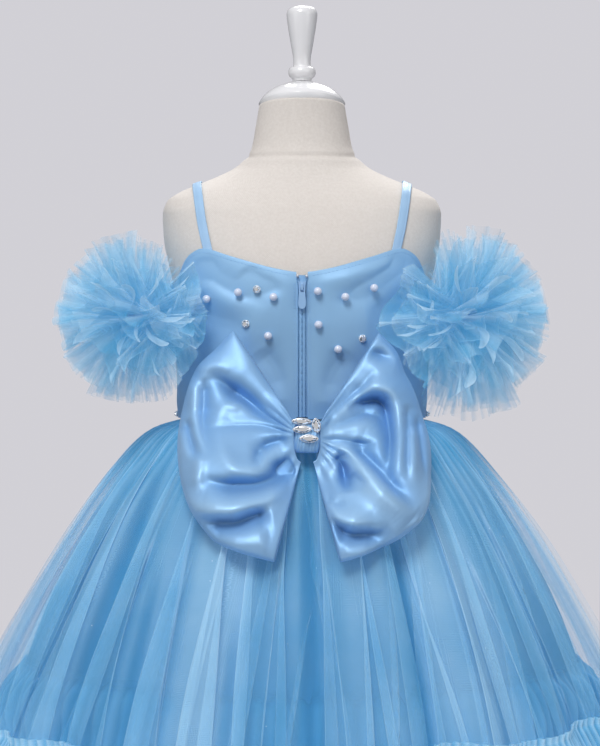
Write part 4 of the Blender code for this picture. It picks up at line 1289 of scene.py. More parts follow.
def build_underskirt():
    drops = np.linspace(0.004, 0.262, 34)
    for name, first in (("back", -0.5), ("front", 0.5)):
        turns = np.linspace(first * math.pi, (first + 1) * math.pi, 210)
        turn, drop = np.meshgrid(turns, drops)
        wide = 0.0030 * np.cos(15 * turn + 2.2 * np.sin(2 * turn)) * ease(0.0, 0.20, drop)
        small = 0.0009 * np.cos(49 * turn + 2 * np.sin(3 * turn)) * ease(0, 0.02, drop)
        points = lining_surface(turn, drop, 0.0006 + wide * 0.6 + small)
        worn = ("lining", "hung", ["form_cover"], [f"lining_{name}"])
        add_sheet(f"underskirt_{name}", points, lining_cloth, *worn)


build_underskirt()
outer_laps = BACK_LAPS + front_laps(5, 26)
crossing = tuple(
    (place + 3.1, width * 1.2, overlap * 0.9, start, lean + 9 * side, side)
    for place, width, overlap, start, lean, side in BACK_LAPS[::2]
)
second_laps = crossing + front_laps(11, 14)
net_panels("net", outer_laps, 0.0042, 0.0, 0.25, 0.24, 1600, 42, OUTER_PARTS)
net_panels("second_net", second_laps, 0.0026, 0.0085, 0.17, 0.18, 1000, 30, SECOND_PARTS)

# %% [markdown]
# ## The frill and the puffed ruffle
#
# The net's hem carries a narrow pleated frill, sewn on a little below its own top edge, so that the
# top stands up as a heading. The underskirt's hem carries a ruffle that is drawn in twice and puffs
# out between.

# %% Hem ruffles
# drop, how far out
PUFF_ROWS = (
    (0.203, 0.0022), (0.209, 0.0036), (0.217, 0.009), (0.228, 0.0112), (0.24, 0.0098),
    (0.252, 0.006), (0.259, 0.003), (0.266, 0.0056), (0.28, 0.0108), (0.2985, 0.0165),
)
# turn in degrees from the centre back, drop of the frill's top edge below the waist
HEADING_ROWS = (
    (-180, 0.236), (-120, 0.24), (-60, 0.248), (-20, 0.2495), (5, 0.249), (23, 0.244), (36, 0.248),
    (50, 0.239), (80, 0.23), (120, 0.232), (180, 0.236),
)
# drop, how far out, depth of the pleats
FRILL_ROWS = (
    (0.236, 0.0078, 0.0013), (0.2376, 0.0068, 0.0011), (0.2396, 0.0056, 0.0008),
    (0.2412, 0.0048, 0.0005), (0.2428, 0.0044, 0.0004), (0.245, 0.0047, 0.0006),
    (0.249, 0.0056, 0.0009), (0.256, 0.0066, 0.0012), (0.265, 0.0074, 0.0014),
    (0.275, 0.0082, 0.0016), (0.286, 0.0092, 0.0018), (0.2935, 0.0098, 0.0019),
    (0.299, 0.0102, 0.002),
)
FRILL_SEAM = 0.2428


def build_frill():
    across = 2400
    drops = np.array(FRILL_ROWS)[:, 0]
    even, drop = np.meshgrid(np.linspace(0, math.tau, across + 1), drops)
    lifts, depths = (column[:, None] for column in read_row(FRILL_ROWS, drops))
    degrees = np.degrees(half_turned(even))
    level_up = (0.236 - read_row(HEADING_ROWS, degrees)[0]) * ease(0.292, 0.246, drop)
    pleat = np.cos(300 * even + 1.6 * np.sin(7 * even + 1) + 1.1 * np.sin(19 * even))
    small = np.cos(211 * even + 2.0 * np.sin(9 * even))
    wide = np.cos(48 * even + 0.8 * np.sin(5 * even))
    out = lifts + depths * (0.8 * pleat + 0.5 * small) + 0.0006 * wide * ease(0.2428, 0.262, drop)
    jag = 0.0008 * uneven(even / math.tau, 3, -1, 1, 700) * ((drop < 0.2362) | (drop > 0.2985))
    sway = (drop - FRILL_SEAM) * 0.05 * np.cos(116 * even + 2 * np.sin(9 * even))
    points = skirt_surface(even + sway, np.minimum(drop - level_up, 0.298), out)
    points[..., 2] = WAIST - drop + jag + level_up
    # Painted light on the pleats' crests and painted shade in their hollows; the heading is paler.
    tone = 0.26 + 0.20 * pleat + 0.10 * small + 0.20 * (drop < FRILL_SEAM)
    cover = np.clip(0.58 + 0.20 * ease(0.2480, 0.2420, drop) + 0.12 * pleat, 0, 0.9) + 0 * even
    for part, run in in_parts(OUTER_PARTS, across):
        worn = (skirt_tulle, [f"net_{part}"], [f"frill_{part}"])
        add_net(f"frill_{part}_cloth", points[run], *worn, cover[run], tone[run])


def build_puff():
    drops = np.linspace(PUFF_ROWS[0][0], PUFF_ROWS[-1][0], 34)
    lifts = read_row(PUFF_ROWS, drops)[0]
    for name, first in (("back", -0.5), ("front", 0.5)):
        turns = np.linspace(first * math.pi, (first + 1) * math.pi, 560)
        turn, drop = np.meshgrid(turns, drops)
        fullness = 0.22 + 0.78 * np.sin(turn) ** 2
        puffed = ease(0.203, 0.222, drop) * ease(0.2595, 0.245, drop)
        flare = ease(0.262, 0.298, drop)
        gathers = np.cos(118 * turn + 1.6 * np.sin(8 * turn))
        lumps = np.cos(46 * turn + 2 * np.sin(5 * turn))
        lumps = lumps * np.cos(95 * drop * (1 + 0.2 * np.sin(6 * turn)))
        out = lifts[:, None] + gathers * (0.0009 + 0.0008 * flare + 0.0006 * puffed)
        out += 0.0030 * puffed * lumps + 0.0034 * flare * np.cos(24 * turn + np.sin(3 * turn))
        out = out * (fullness + (1 - fullness) * ease(0.225, 0.275, drop))
        points = lining_surface(turn, np.minimum(drop, 0.262), 0.0012 + out)
        ragged = 0.0010 * np.cos(83 * turn + 3 * np.sin(13 * turn)) * (drop > 0.2975)
        drawn = puffed * np.cos(61 * turn + 9 * np.sin(3 * turn))
        points[..., 2] = WAIST - drop + ragged + 0.0016 * drawn
        shown = ease(0.2035, 0.222, drop + 0.010 * np.sin(turn) ** 2)
        cover = np.clip(0.80 + 0.10 * gathers, 0, 0.94) * shown
        # Painted light on the gathers' and lumps' crests and painted shade in their hollows, paler from
        # the top down and less towards the centre back.
        tone = fullness * (0.24 * ease(0.205, 0.235, drop) + 0.22 * gathers + 0.25 * puffed * lumps)
        worn = (under_tulle, [f"underskirt_{name}"], [f"hem_ruffle_{name}"])
        add_net(f"hem_ruffle_{name}_cloth", points, *worn, cover, tone)


build_frill()
build_puff()

# %% [markdown]
# ## The bow
#
# Each loop is a wide ribbon that leaves the knot in gathers, swells, turns round a soft fold and
# comes back flat against the gown. A grid runs along that route and fans out from the knot. The
# creases of its front layer run out from the knot, bend where the cloth buckles, and die away.

# %% The bow's sizes and creases
# minus the angle from level in degrees, reach left, reach right, root outward, root up
BOW_ROWS = (
    (-55, 0.105, 0.1026, 0.0096, 0.01), (-44, 0.1032, 0.1009, 0.01, 0.008),
    (-31, 0.106, 0.0952, 0.0103, 0.0055), (-14, 0.1045, 0.0955, 0.0105, 0.003),
    (3, 0.1052, 0.0999, 0.0105, 0.0005), (17, 0.1067, 0.104, 0.0105, -0.002),
    (34, 0.109, 0.1115, 0.0104, -0.005), (46, 0.1092, 0.108, 0.0101, -0.009),
    (57, 0.1046, 0.1032, 0.0091, -0.014), (67, 0.1008, 0.1008, 0.0074, -0.0182),
    (75, 0.0995, 0.0998, 0.005, -0.02),
)
# step along the ribbon, share of the reach, share of the thickness, pull to the knot's depth
LOOP_ROWS = (
    (0, 0, 0.3, 1), (1, 0.18, 0.6, 0.6), (2, 0.42, 0.9, 0.12), (3, 0.66, 1, 0), (4, 0.86, 0.8, 0),
    (5, 0.97, 0.52, 0), (6, 1, 0.28, 0), (7, 0.97, 0.06, 0), (8, 0.8, 0, 0), (9, 0.4, 0, 0),
    (10, 0.08, 0.04, 0),
)
# height above the waist, depth of the cloth behind the bow
BACKING_ROWS = (
    (-0.14, 0.2132), (-0.08, 0.1736), (-0.034, 0.137), (-0.013, 0.1156), (0, 0.102),
    (0.012, 0.0945), (0.08, 0.0925),
)
BACKING_FALL = 1.5
LOOP_ROOT_DEPTH, LOOP_THICK, LOOP_WALL = 0.1445, 0.034, 0.0011
CREASE_DEPTH = 1.5  # all of the bow's creases together
# The creases' painted shade is deepest where a crease is half this deep.
FOLD_SHADE_DEPTH = 0.016  # twice the depth at which a fold has its deepest colour
KNOT_X, KNOT_HEIGHT = 0.004, -0.0115

# x and height along the line in millimetres from the knot, depth, and reach to its left and right
LEFT_CREASES = (
    ((-14, 5, -25, 11, -36, 18, -48, 28, -60, 37, -72, 46, -83, 50), 11, 6.5, 5.5),
    ((-14, 4, -30, 11, -45, 20, -56, 25, -65, 24, -71, 17, -71, 8), -4.5, 5, 4),
    ((-12, 3, -30, 8, -47, 9, -70, 8, -84, 4), 1.6, 3, 2),
    ((-14, -1, -25, -4, -35, -8, -43, -14), 6.5, 4, 4),
    ((-37, -11, -41, -16, -39, -22), 3, 3, 2.5),
    ((-12, -4, -22, -9, -30, -17, -38, -26, -54, -25, -66, -14, -71, 2), -4, 5, 4),
    ((-12, -17, -20, -25, -30, -34, -45, -38, -60, -38, -76, -35, -86, -29), 10, 8, 5),
    ((-10, -22, -19, -25, -29, -28), 14, 4.5, 4.5),
    ((-14, -38, -28, -46, -45, -51, -65, -56, -81, -56, -92, -50, -97, -41), -6.5, 4, 7),
    ((-28, -59, -43, -62, -59, -67, -75, -67, -89, -61), 8.5, 8, 4.5),
    ((-30, -78, -50, -80, -70, -80), -3, 8, 8),
    ((-95, 50, -93, 35, -93, 22, -89, 5, -84, -8, -81, -16), -4, 4, 3),
    ((-85, 48, -84, 30, -85, 12, -81, -4, -77, -14), 3.6, 5, 3.5),
    ((-98, 14, -95, 0, -91, -11, -88, -19), 3.6, 3, 3),
    ((-101, 6, -98, -8, -94, -20), -2.4, 4, 4),
    ((-86, -13, -87, -22, -87, -33, -84, -43), -3.2, 4, 4),
    ((-93, 55, -76, 58, -63, 51), -2, 4, 4),
)
RIGHT_CREASES = (
    ((38, 73, 52, 70, 62, 66, 73, 62), 5, 4, 5),
    ((20, 44, 28, 42, 36, 40), 2.2, 2.5, 4),
    ((30, 60, 36, 58, 42, 58), 2, 2.5, 4),
    ((12, 6, 20, 17, 28, 26, 36, 33, 47, 42, 56, 55), 6, 5, 3),
    ((12, 5, 21, 15, 31, 24, 42, 33, 54, 40, 66, 38, 74, 25, 76, 4), -4.5, 5, 4),
    ((32, 23, 45, 28, 56, 29, 63, 24, 66, 12, 67, -2, 66, -18, 64, -35), 9.5, 4, 5),
    ((13, 3, 25, 6, 37, 9, 46, 10, 53, 6), -4.5, 4, 4),
    ((14, 5, 25, 10, 36, 14, 47, 18, 58, 15, 61, 6, 57, -3), 4, 3, 4),
    ((14, 0, 28, -3, 40, -5, 50, -6, 57, -2), 4, 3, 3),
    ((13, -1, 25, -7, 35, -15, 45, -25, 55, -35, 65, -45, 76, -54, 84, -64), -9, 3.5, 9),
    ((34, -6, 45, -15, 56, -26, 65, -37, 76, -47, 86, -56), 10, 7, 3.5),
    ((75, 30, 76, 10, 75, -10, 73, -30), -3, 4, 4),
    ((81, 26, 81, 6, 80, -14, 80, -36), 3.4, 3, 3),
    ((86, 8, 86, -8, 85, -24, 87, -38), -2.8, 3, 3),
    ((90, 18, 91, -2, 93, -20, 95, -36), 4.2, 3.5, 3),
    ((84, -62, 90, -67, 96, -62, 99, -48, 99, -30), -3.4, 3, 5),
    ((22, -12, 27, -20, 30, -30, 32, -44), 17, 4.5, 4),
    ((20, -12, 24, -20, 19, -26, 10, -29), -3.6, 3, 4),
    ((36, -28, 42, -34, 47, -37), 3, 3, 4),
    ((10, -53, 20, -60, 35, -65, 52, -64), -5.5, 7, 4),
    ((13, -64, 24, -71, 38, -76, 53, -76, 66, -69), 8.5, 4.5, 8),
    ((25, -86, 40, -88, 56, -86), -3, 8, 8),
    ((14, -48, 24, -52, 31, -50), 2.4, 3, 4),
)

# %% [markdown]
# The gathers at the knot are a row of waves of unequal width, deepest just outside it, which fade
# within a third of the loop.

# %% Building the loops


def loop_points(side, creases):
    steps = np.concatenate([np.linspace(0, 6.6, 104), np.linspace(6.7, 10, 14)])
    angles = np.linspace(-55, 75, 120)
    reach_left, reach_right, root_x, root_up = read_row(BOW_ROWS, angles)
    reach = reach_left if side < 0 else reach_right
    along, puff, pull = (column[:, None] for column in read_row(LOOP_ROWS, steps))
    angle = -np.radians(angles)
    x = KNOT_X + side * (root_x * (1 - along) + reach * along * np.cos(angle))
    height = KNOT_HEIGHT + root_up * (1 - along) + reach * along * np.sin(angle)
    share = np.linspace(0, 1, len(angles))
    edge = np.sin(np.pi * share) ** 0.5
    rounded = 0.40 + 0.60 * edge
    thick = LOOP_THICK * puff * (0.5 + (rounded - 0.5) * ease(0.06, 0.22, along))
    front = ease(7.0, 5.9, steps)[:, None]
    gathers = np.sin(math.tau * (6.5 * share + 0.6 * np.sin(7 * share + side)))
    gathers = gathers * edge * 0.0017 * ease(0.0, 0.10, along) * ease(0.42, 0.14, along)
    slow = 0.0012 * np.sin(9 * share + 5 * along + side) * np.sin(np.pi * along)
    folds = CREASE_DEPTH * crease_field(x - KNOT_X, height - KNOT_HEIGHT, creases)
    relief = gathers + slow - folds * ease(0.03, 0.12, along)
    (backing,) = read_row(BACKING_ROWS, height)
    floor = backing - BACKING_FALL * x * x + 0.0006
    depth = floor + thick + relief * front * ease(0.0, 0.05, share) * ease(1.0, 0.95, share)
    depth = np.maximum(depth, floor + 0.0006 * front)
    depth += (LOOP_ROOT_DEPTH + 0.5 * gathers - depth) * pull
    # Painted shade in the creases and painted highlight on the ridges, from the creases' depth.
    valley = np.clip(0.5 + folds / FOLD_SHADE_DEPTH, 0, 1)
    return spots(x, -depth, WAIST + height), valley


def build_loops():
    for name, side, creases in (("left", -1, LEFT_CREASES), ("right", 1, RIGHT_CREASES)):
        points, valley = loop_points(side, creases)
        if side > 0:
            points, valley = points[:, ::-1], valley[:, ::-1]
        worn = ("satin", "folded", ["bow_knot_cloth"], [f"bow_loop_{name}"])
        piece = add_sheet(f"bow_loop_{name}_cloth", points, bow_satin, *worn, valley=valley)
        add_wall(piece, LOOP_WALL)


build_loops()

# %% [markdown]
# ## The knot and its stones
#
# The knot is a short band of the same satin, drawn round the middle of the loops, so it has upright
# folds. Four pointed oval stones sit on it in claw settings. Each facet gets a painted reflection:
# its own grey from a seeded list, standing for the part of the room that it would mirror.

# %% The knot
KNOT_HALF_X, KNOT_HALF_Z = 0.0118, 0.0128
KNOT_FRONT, KNOT_LEAN = 0.1490, 0.25


def knot_depths(height):
    """The knot's half width and the depths of its front and back, at a height."""
    share = np.clip((height - KNOT_HEIGHT) / KNOT_HALF_Z, -1, 1)
    swell = np.sqrt(1 - share**2)
    (backing,) = read_row(BACKING_ROWS, height)
    front = KNOT_FRONT - KNOT_LEAN * (height - KNOT_HEIGHT) - 0.0060 * (1 - swell)
    return KNOT_HALF_X * (0.72 + 0.28 * swell), front, backing + 0.0012


def knot_front(x, height):
    half, front, back = knot_depths(height)
    across = np.minimum(0.98, np.abs(x) / half)
    return back + (front - back) * (0.5 + 0.5 * (1 - across**3) ** (1 / 3))


def build_knot():
    turns = all_round(150)
    up = np.linspace(-1, 1, 40)
    height = (KNOT_HEIGHT + KNOT_HALF_Z * np.sin(up * np.pi / 2))[:, None] + 0 * turns
    half, front, back = knot_depths(height)
    x = half * bent(np.sin(turns), 3.0)
    share = 0.5 + 0.5 * bent(np.cos(turns), 3.0)
    folds = 0.0003 * np.sin(x * 2300 + 2.5 * np.sin(height * 190)) * ease(0.3, 0.9, share)
    hollow = 0.0010 * np.exp(-(((x - 0.003 - 0.2 * (height - KNOT_HEIGHT)) / 0.0016) ** 2))
    relief = (folds - hollow * ease(0.5, 0.9, share)) * (1 - up[:, None] ** 6)
    depth = back + (front - back) * share + relief
    points = spots(KNOT_X + x, -depth, WAIST + height)
    # Painted shade in the knot's folds and towards its top and bottom, painted light on its ridges.
    valley = np.clip(0.55 - folds / 0.0024 + 0.3 * up[:, None] ** 4, 0, 1)
    worn = ("satin", "folded", ["bodice_back_left_cloth"], ["bow_knot"], True)
    add_sheet("bow_knot_cloth", points, bow_satin, *worn, valley=valley)


build_knot()

# %% [markdown]
# A stone has a flat table on top, a belt of facets round it and a girdle below. Its setting is a
# thin cup with claws over the edge.

# %% Stones in settings
# name, x from the knot's middle, height above the waist, tilt in degrees, length, width
STONE_ROWS = (
    ("upper", -0.0044, 0.0011, -2, 0.0153, 0.0052),
    ("middle", -0.0040, -0.0052, 2, 0.0147, 0.0058),
    ("lower", 0.0014, -0.0126, -2, 0.0147, 0.0062),
    ("side", 0.0074, -0.0022, -82, 0.0113, 0.0066),
)
STONE_DEEP = 0.0042
facet_chance = np.random.default_rng(42)


def oval(turns, long, wide, point):
    """A stone's outline. point makes the ends sharper."""
    sines = np.sin(turns)
    return long / 2 * np.cos(turns), wide / 2 * sines * np.abs(sines) ** point


def oval_ring(turns, long, wide, point, out):
    x, z = oval(turns, long, wide, point)
    return spots(x, out, z)


def cut_stone(long, wide, deep, corners, point):
    """Facets as flat polygons, each with a painted reflection grey: (points, polygons, reflection_greys).
    """
    turns, half_step = all_round(corners), math.pi / corners
    rings = ((1.0, 0.30, 0.0), (0.86, 0.62, half_step), (0.56, 1.0, 0.0))
    girdle, belt, table = (
        oval_ring(turns + twist, long * shrink, wide * shrink, point, deep * out)
        for shrink, out, twist in rings
    )
    afters = [(i + 1) % corners for i in range(corners)]
    faces = []
    for i, j in enumerate(afters):
        faces += [[girdle[i], girdle[j], belt[i]], [girdle[j], belt[j], belt[i]]]
    for i, j in enumerate(afters):
        faces += [[belt[i], belt[j], table[j]], [belt[i], table[j], table[i]]]
    faces.append(list(table))
    points = np.array([point for face in faces for point in face])
    starts = np.cumsum([0] + [len(face) for face in faces])
    polygons = [list(range(a, b)) for a, b in zip(starts[:-1], starts[1:])]
    # Each facet's painted reflection is a grey drawn from a seeded list.
    reflection_greys = np.repeat(facet_chance.choice([0.05, 0.35, 0.7, 0.95, 1.0], len(faces)), np.diff(starts))
    # The table facet gets one painted reflection grey.
    reflection_greys[-corners:] = 0.82
    return points, polygons, reflection_greys


# a claw's steps: how far in over the stone, height as a share of the stone's depth, thickness
CLAW = ((0.0, 0.1, 1.0), (0.0, 0.55, 1.0), (0.0007, 0.72, 0.8), (0.0011, 0.70, 0.8))
CLAW_HALF = 0.00038


def cup_parts(long, wide, deep, corners, point, claws):
    """The setting: a thin rim round the stone and claws over its edge."""
    turns = all_round(max(corners * 2, 16))
    steps = ((0.90, 0.0), (1.06, 0.05), (1.08, 0.38), (0.97, 0.40))
    rings = [oval_ring(turns, long * grow, wide * grow, point, deep * out) for grow, out in steps]
    points, polygons = list(np.concatenate(rings)), ring_faces(0, len(rings), len(turns))
    for turn in claws:
        x, z = (float(value) for value in oval(np.array(turn), long * 1.04, wide * 1.04, point))
        length = math.hypot(x, z)
        inward = np.array([-x / length, 0, -z / length])
        across = np.array([inward[2], 0, -inward[0]])
        polygons += ring_faces(len(points), len(CLAW), 4)
        for reach, out, share in CLAW:
            middle = np.array([x, deep * out, z]) + inward * reach
            thick = CLAW_HALF * share
            for a, b in ((-1, 0), (0, -1), (1, 0), (0, 1)):
                outward = np.array([0, thick * -b, 0]) if reach else -inward * b * thick
                points.append(middle + across * a * thick + outward)
        polygons.append(list(range(len(points) - 4, len(points))))
    return np.array(points), polygons


def placed(points, origin, outward, tilt):
    """Turns a stone made with its depth along y, so that it stands out along outward."""
    outward = np.array(outward) / np.linalg.norm(outward)
    sideways = np.cross(outward, (0, 0, 1.0))
    sideways /= np.linalg.norm(sideways)
    upward = np.cross(sideways, outward)
    right = -sideways * math.cos(tilt) + upward * math.sin(tilt)
    above = sideways * math.sin(tilt) + upward * math.cos(tilt)
    return np.array(origin) + points[:, :1] * right + points[:, 1:2] * outward + points[:, 2:] * above


def add_stones(name, stones, replaces=()):
    """Many set stones as one mesh, each as its place, outward, tilt, sizes, shape and claws."""
    points, polygons, reflection_greys, kinds, used = [], [], [], [], 0
    for origin, outward, tilt, long, wide, deep, corners, point, claws in stones:
        gem, gem_faces, gem_reflection_greys = cut_stone(long, wide, deep, corners, point)
        cup, cup_faces = cup_parts(long, wide, deep, corners, point, claws)
        for made, faces, shade, kind in ((gem, gem_faces, gem_reflection_greys, 0), (cup, cup_faces, None, 1)):
            points.append(placed(made, origin, outward, tilt))
            polygons += [[corner + used for corner in face] for face in faces]
            reflection_greys.append(shade if shade is not None else np.full(len(made), 0.7))
            kinds += [kind] * len(faces)
            used += len(made)
    mesh = mesh_of(name, np.concatenate(points), polygons)
    mesh.materials.append(crystal)
    mesh.materials.append(silver)
    mesh.polygons.foreach_set("material_index", kinds)
    mesh.polygons.foreach_set("use_smooth", [kind == 1 for kind in kinds])
    keep_values(mesh, facet=np.concatenate(reflection_greys))
    add_piece(name, mesh, crystal, replaces)


def build_bow_stones():
    for name, x, height, tilt, long, wide in STONE_ROWS:
        near = [knot_front(x + dx, height + dz) for dx in (-0.004, 0, 0.004) for dz in (-0.002, 0.002)]
        back = float(max(near)) - 0.0006
        origin = (KNOT_X + x, -back, WAIST + height)
        claws = (0.0, math.pi, math.pi / 2, -math.pi / 2)
        stone = (origin, (0, -1, 0), math.radians(tilt), long, wide, STONE_DEEP, 10, 0.3, claws)
        add_stones(f"bow_stone_{name}_cut", [stone], [f"bow_stone_{name}"])
    print("bow stones:", len(STONE_ROWS))


build_bow_stones()

# %% [markdown]
# ## Pearls, small stones and the waist trim
#
# Nine pearls and three small round stones are sewn to the back at uneven places, and the front has
# some too. The trim is a row of small round stones in cups, joined edge to edge, over the front of
# the waist seam.

# %% Beads on the bodice
# x and height above the waist, in millimetres
BACK_PEARLS = (
    (-50.3, 106.9), (-22.5, 102.8), (-26.7, 70.8), (12.4, 107.5), (34.0, 103.0), (56.6, 110.6),
    (12.9, 80.0), (28.3, 59.8), (-75.1, 101.8),
)
BACK_ROUND_STONES = ((-36.0, 109.2), (-44.8, 80.8), (48.0, 68.5))
FRONT_PEARLS = (
    (-58, 98), (-34, 112), (-10, 100), (16, 108), (42, 100), (64, 112), (-44, 72), (-8, 66), (30, 74),
)
FRONT_ROUND_STONES = ((-22, 86), (26, 92), (54, 68))
PEARL_RADIUS = 0.0034


def on_bodice(x, height, behind):
    """A place on the bodice's right side, and the direction out of it."""
    turn = math.copysign(float(turn_at(abs(x), height)), x)
    turn = turn if behind else math.pi - turn
    lift = OUTSIDE + 0.0016
    here = body(turn, height, lift)
    sideways = body(turn + 0.01, height, lift) - body(turn - 0.01, height, lift)
    upward = body(turn, height + 0.002, lift) - body(turn, height - 0.002, lift)
    outward = np.cross(sideways, upward)
    return here, outward / np.linalg.norm(outward)


def build_pearls():
    turns, rings = all_round(20), 11
    tilts = np.linspace(-math.pi / 2 + 0.12, math.pi / 2 - 0.12, rings)[:, None]
    reach = np.cos(tilts)
    ball = spots(reach * np.cos(turns), reach * np.sin(turns), np.sin(tilts)).reshape(-1, 3)
    placing = [(x, height, True) for x, height in BACK_PEARLS]
    placing += [(x, height, False) for x, height in FRONT_PEARLS]
    points, polygons = [], []
    for number, (x, height, behind) in enumerate(placing):
        here, outward = on_bodice(x / 1000, height / 1000, behind)
        points.append(here + outward * (PEARL_RADIUS - 0.0006) + ball * PEARL_RADIUS)
        used, after = number * len(ball), (number + 1) * len(ball)
        polygons += ring_faces(used, rings, 20)
        polygons += [list(range(used, used + 20))[::-1], list(range(after - 20, after))]
    mesh = mesh_of("pearls", np.concatenate(points), polygons)
    add_piece("pearls", mesh, pearl)
    print("pearls:", len(placing))


def build_small_stones():
    claws = [math.pi / 4 + i * math.pi / 2 for i in range(4)]
    stones = []
    for rows, behind in ((BACK_ROUND_STONES, True), (FRONT_ROUND_STONES, False)):
        for x, height in rows:
            here, outward = on_bodice(x / 1000, height / 1000, behind)
            stones.append((here - outward * 0.0003, outward, 0.3, 0.0060, 0.0060, 0.0036, 8, 0.0, claws))
    add_stones("small_stones", stones)
    print("small stones:", len(stones))


def build_trim():
    lift = EASE + SATIN + 0.0006
    turns = np.linspace(math.pi / 2 - 0.05, 3 * math.pi / 2 + 0.05, 400)
    line = body(turns, 0.0050, lift)
    length = lengths_along(line, 0)
    places = np.arange(0.0024, length[-1] - 0.0020, 0.0052)
    stones = []
    for place in places:
        turn = float(np.interp(place, length, turns))
        here = body(turn, 0.0050, lift)
        along = body(turn + 0.01, 0.0050, lift) - body(turn - 0.01, 0.0050, lift)
        outward = np.cross(along, (0, 0, 1.0))
        claws = (math.pi / 4, 3 * math.pi / 4, -math.pi / 4, -3 * math.pi / 4)
        stones.append((here, outward, 0.0, 0.0046, 0.0046, 0.0028, 8, 0.0, claws))
    add_stones("waist_stones", stones, ["waist_trim"])
    print("trim stones:", len(stones), "on", round(float(length[-1]), 3), "m")


build_pearls()
build_small_stones()
build_trim()

# %% [markdown]
# ## The sleeves
#
# Each sleeve is an elastic band that stands off the shoulder and wraps the arm, with tiers of net
# ruffles sewn on along it. A ruffle's inner edge is drawn together, so its free edge swings to and
# fro in loops, and the net between lies in sharp pleats. Both come from a curve that doubles back:
# each point along the edge is moved back and forth along it and up and down across it.

# %% Sleeve sizes
# side, name, outline's middle: x and height, and its half sizes
SLEEVE_ROWS = (
    (-1, "left", 0.1365, 0.0860, 0.0735, 0.126, 0.0760),
    (1, "right", 0.1350, 0.0835, 0.0755, 0.128, 0.0860),
)
# name, lift in degrees, root above the band's middle, length at the ends
TIER_ROWS = (
    ("top", 80, 0.0069, 0.40),
    ("high", 49, 0.0040, 0.60),
    ("upper", 14, 0.0010, 0.90),
    ("lower", -11, -0.0010, 0.85),
    ("low", -47, -0.0041, 0.62),
    ("bottom", -79, -0.0069, 0.66),
)
BAND_UP, BAND_TALL, BAND_WALL = 0.088, 0.0150, 0.0014
BAND_X, BAND_HALF_X, BAND_HALF_Y = 0.118, 0.041, 0.076
# direction in degrees from straight outward, through up, and the reach there in millimetres
LEFT_OUTLINE = (
    (-124, 66), (-105, 76), (-92, 78), (-74, 72), (-53, 68), (-34, 69), (-14, 66), (0, 65),
    (29, 67), (51, 65), (64, 62), (84, 65), (101, 70), (112, 64), (124, 60), (139, 70),
    (165, 54), (180, 60), (199, 66), (220, 62), (236, 66),
)
RIGHT_OUTLINE = (
    (-127, 66), (-112, 90), (-90, 91), (-75, 82), (-54, 78), (-39, 71), (-22, 70), (0, 67),
    (23, 71), (43, 72), (59, 71), (81, 68), (97, 78), (104, 81), (118, 62), (134, 57),
    (146, 66), (165, 69), (188, 82), (213, 62), (233, 66),
)


def band_frame(angle, side):
    """Points on the band's line and the level direction outward."""
    x = side * (BAND_X + BAND_HALF_X * np.cos(angle))
    y = -BAND_HALF_Y * np.sin(angle)
    eased = angle * 0.82
    outward = spots(side * np.cos(eased) / BAND_HALF_X, -np.sin(eased) / BAND_HALF_Y, 0)
    return spots(x, y, WAIST + BAND_UP), level(outward)


def find_band_end():
    """The angle at which the band reaches the bodice's side."""
    half, back, _, square = read_row(BODY_ROWS, BAND_UP)
    clear = EASE + SATIN + 0.0007

    def still_free(angle):
        x, y, _ = np.abs(band_frame(np.array(angle), 1)[0])
        return (x / (half + clear)) ** square + (y / (back + clear)) ** square >= 1

    return float(furthest(still_free, math.pi / 2, math.pi, 30))


BAND_END = find_band_end()


def build_band(name, side):
    turns = np.linspace(-BAND_END, BAND_END, 200)
    up = np.linspace(-1, 1, 11)[:, None]
    middle, outward = band_frame(turns, side)
    gathers = 0.0007 * np.sin(turns * 56 + 1.5 * np.sin(turns * 9))
    gathers = gathers * (1 - 0.4 * np.cos(up * math.pi * 2))
    lift = gathers - 0.0010 * up**2 + 0.0006
    points = middle + outward * lift[..., None]
    points[..., 2] += up * BAND_TALL / 2
    worn = ("satin", "gathered", ["bodice_front_cloth"], [f"sleeve_band_{name}"])
    piece = add_sheet(f"sleeve_band_{name}_cloth", points, bodice_satin, *worn)
    add_wall(piece, BAND_WALL * 0.8)


print("the band meets the bodice", round(math.degrees(BAND_END), 1), "degrees from outward")

# %% [markdown]
# ### Tiers along the band
#
# A tier leaves the band at its own lift and reaches out to the sleeve's rounded outline, with wide
# uneven loops, small sharp pleats and a notched raw edge.

# %% Tiers
LIMIT_SOFTNESS = 0.004
MIDDLE_LIFT = 30  # degrees. The tiers below it stand out from the middle of the band


def looped(phase, back, out):
    """How far a gathered edge is moved along itself and across itself."""
    return -back * np.sin(phase), out * np.cos(phase)


def stepped(phase, seed, low, high):
    """One value for each pleat, so that a raw edge ends in steps."""
    pleat = np.floor(phase / math.tau)
    return low + (high - low) * (0.5 + 0.5 * np.sin(12.99 * pleat + 7.3 * seed))


def reach_to_ball(row, start, along):
    """How far it is from each start, in its own direction, to the sleeve's rounded outline."""
    side, _, ball_x, ball_up, half_x, half_y, half_up = row

    def inside(reach):
        x, y, z = np.moveaxis(start + along * reach[..., None], -1, 0)
        level_part = ((x - side * ball_x) / half_x) ** 2 + (y / half_y) ** 4
        return level_part + ((z - WAIST - ball_up) / half_up) ** 2 < 1

    return furthest(inside, np.zeros(start.shape[:-1]), 0.2, 26)


def clear_of_bodice(points, gap, facing):
    """Keeps net outside the bodice's back (or front), by a soft limit on its depth."""
    height = points[..., 2] - WAIST
    half, back, front, square = read_row(BODY_ROWS, np.clip(height, -0.1, 0.26))
    depth = back if facing < 0 else front
    share = np.clip(np.abs(points[..., 0]) / (half + OUTSIDE), 0, 1)
    limit = (depth + OUTSIDE) * (1 - share**square) ** (1 / square) + gap
    reach = facing * points[..., 1]
    moved = LIMIT_SOFTNESS * np.logaddexp(0, (limit - reach) / LIMIT_SOFTNESS)
    points[..., 1] = facing * (reach + np.where(share < 1, moved, 0))
    return points


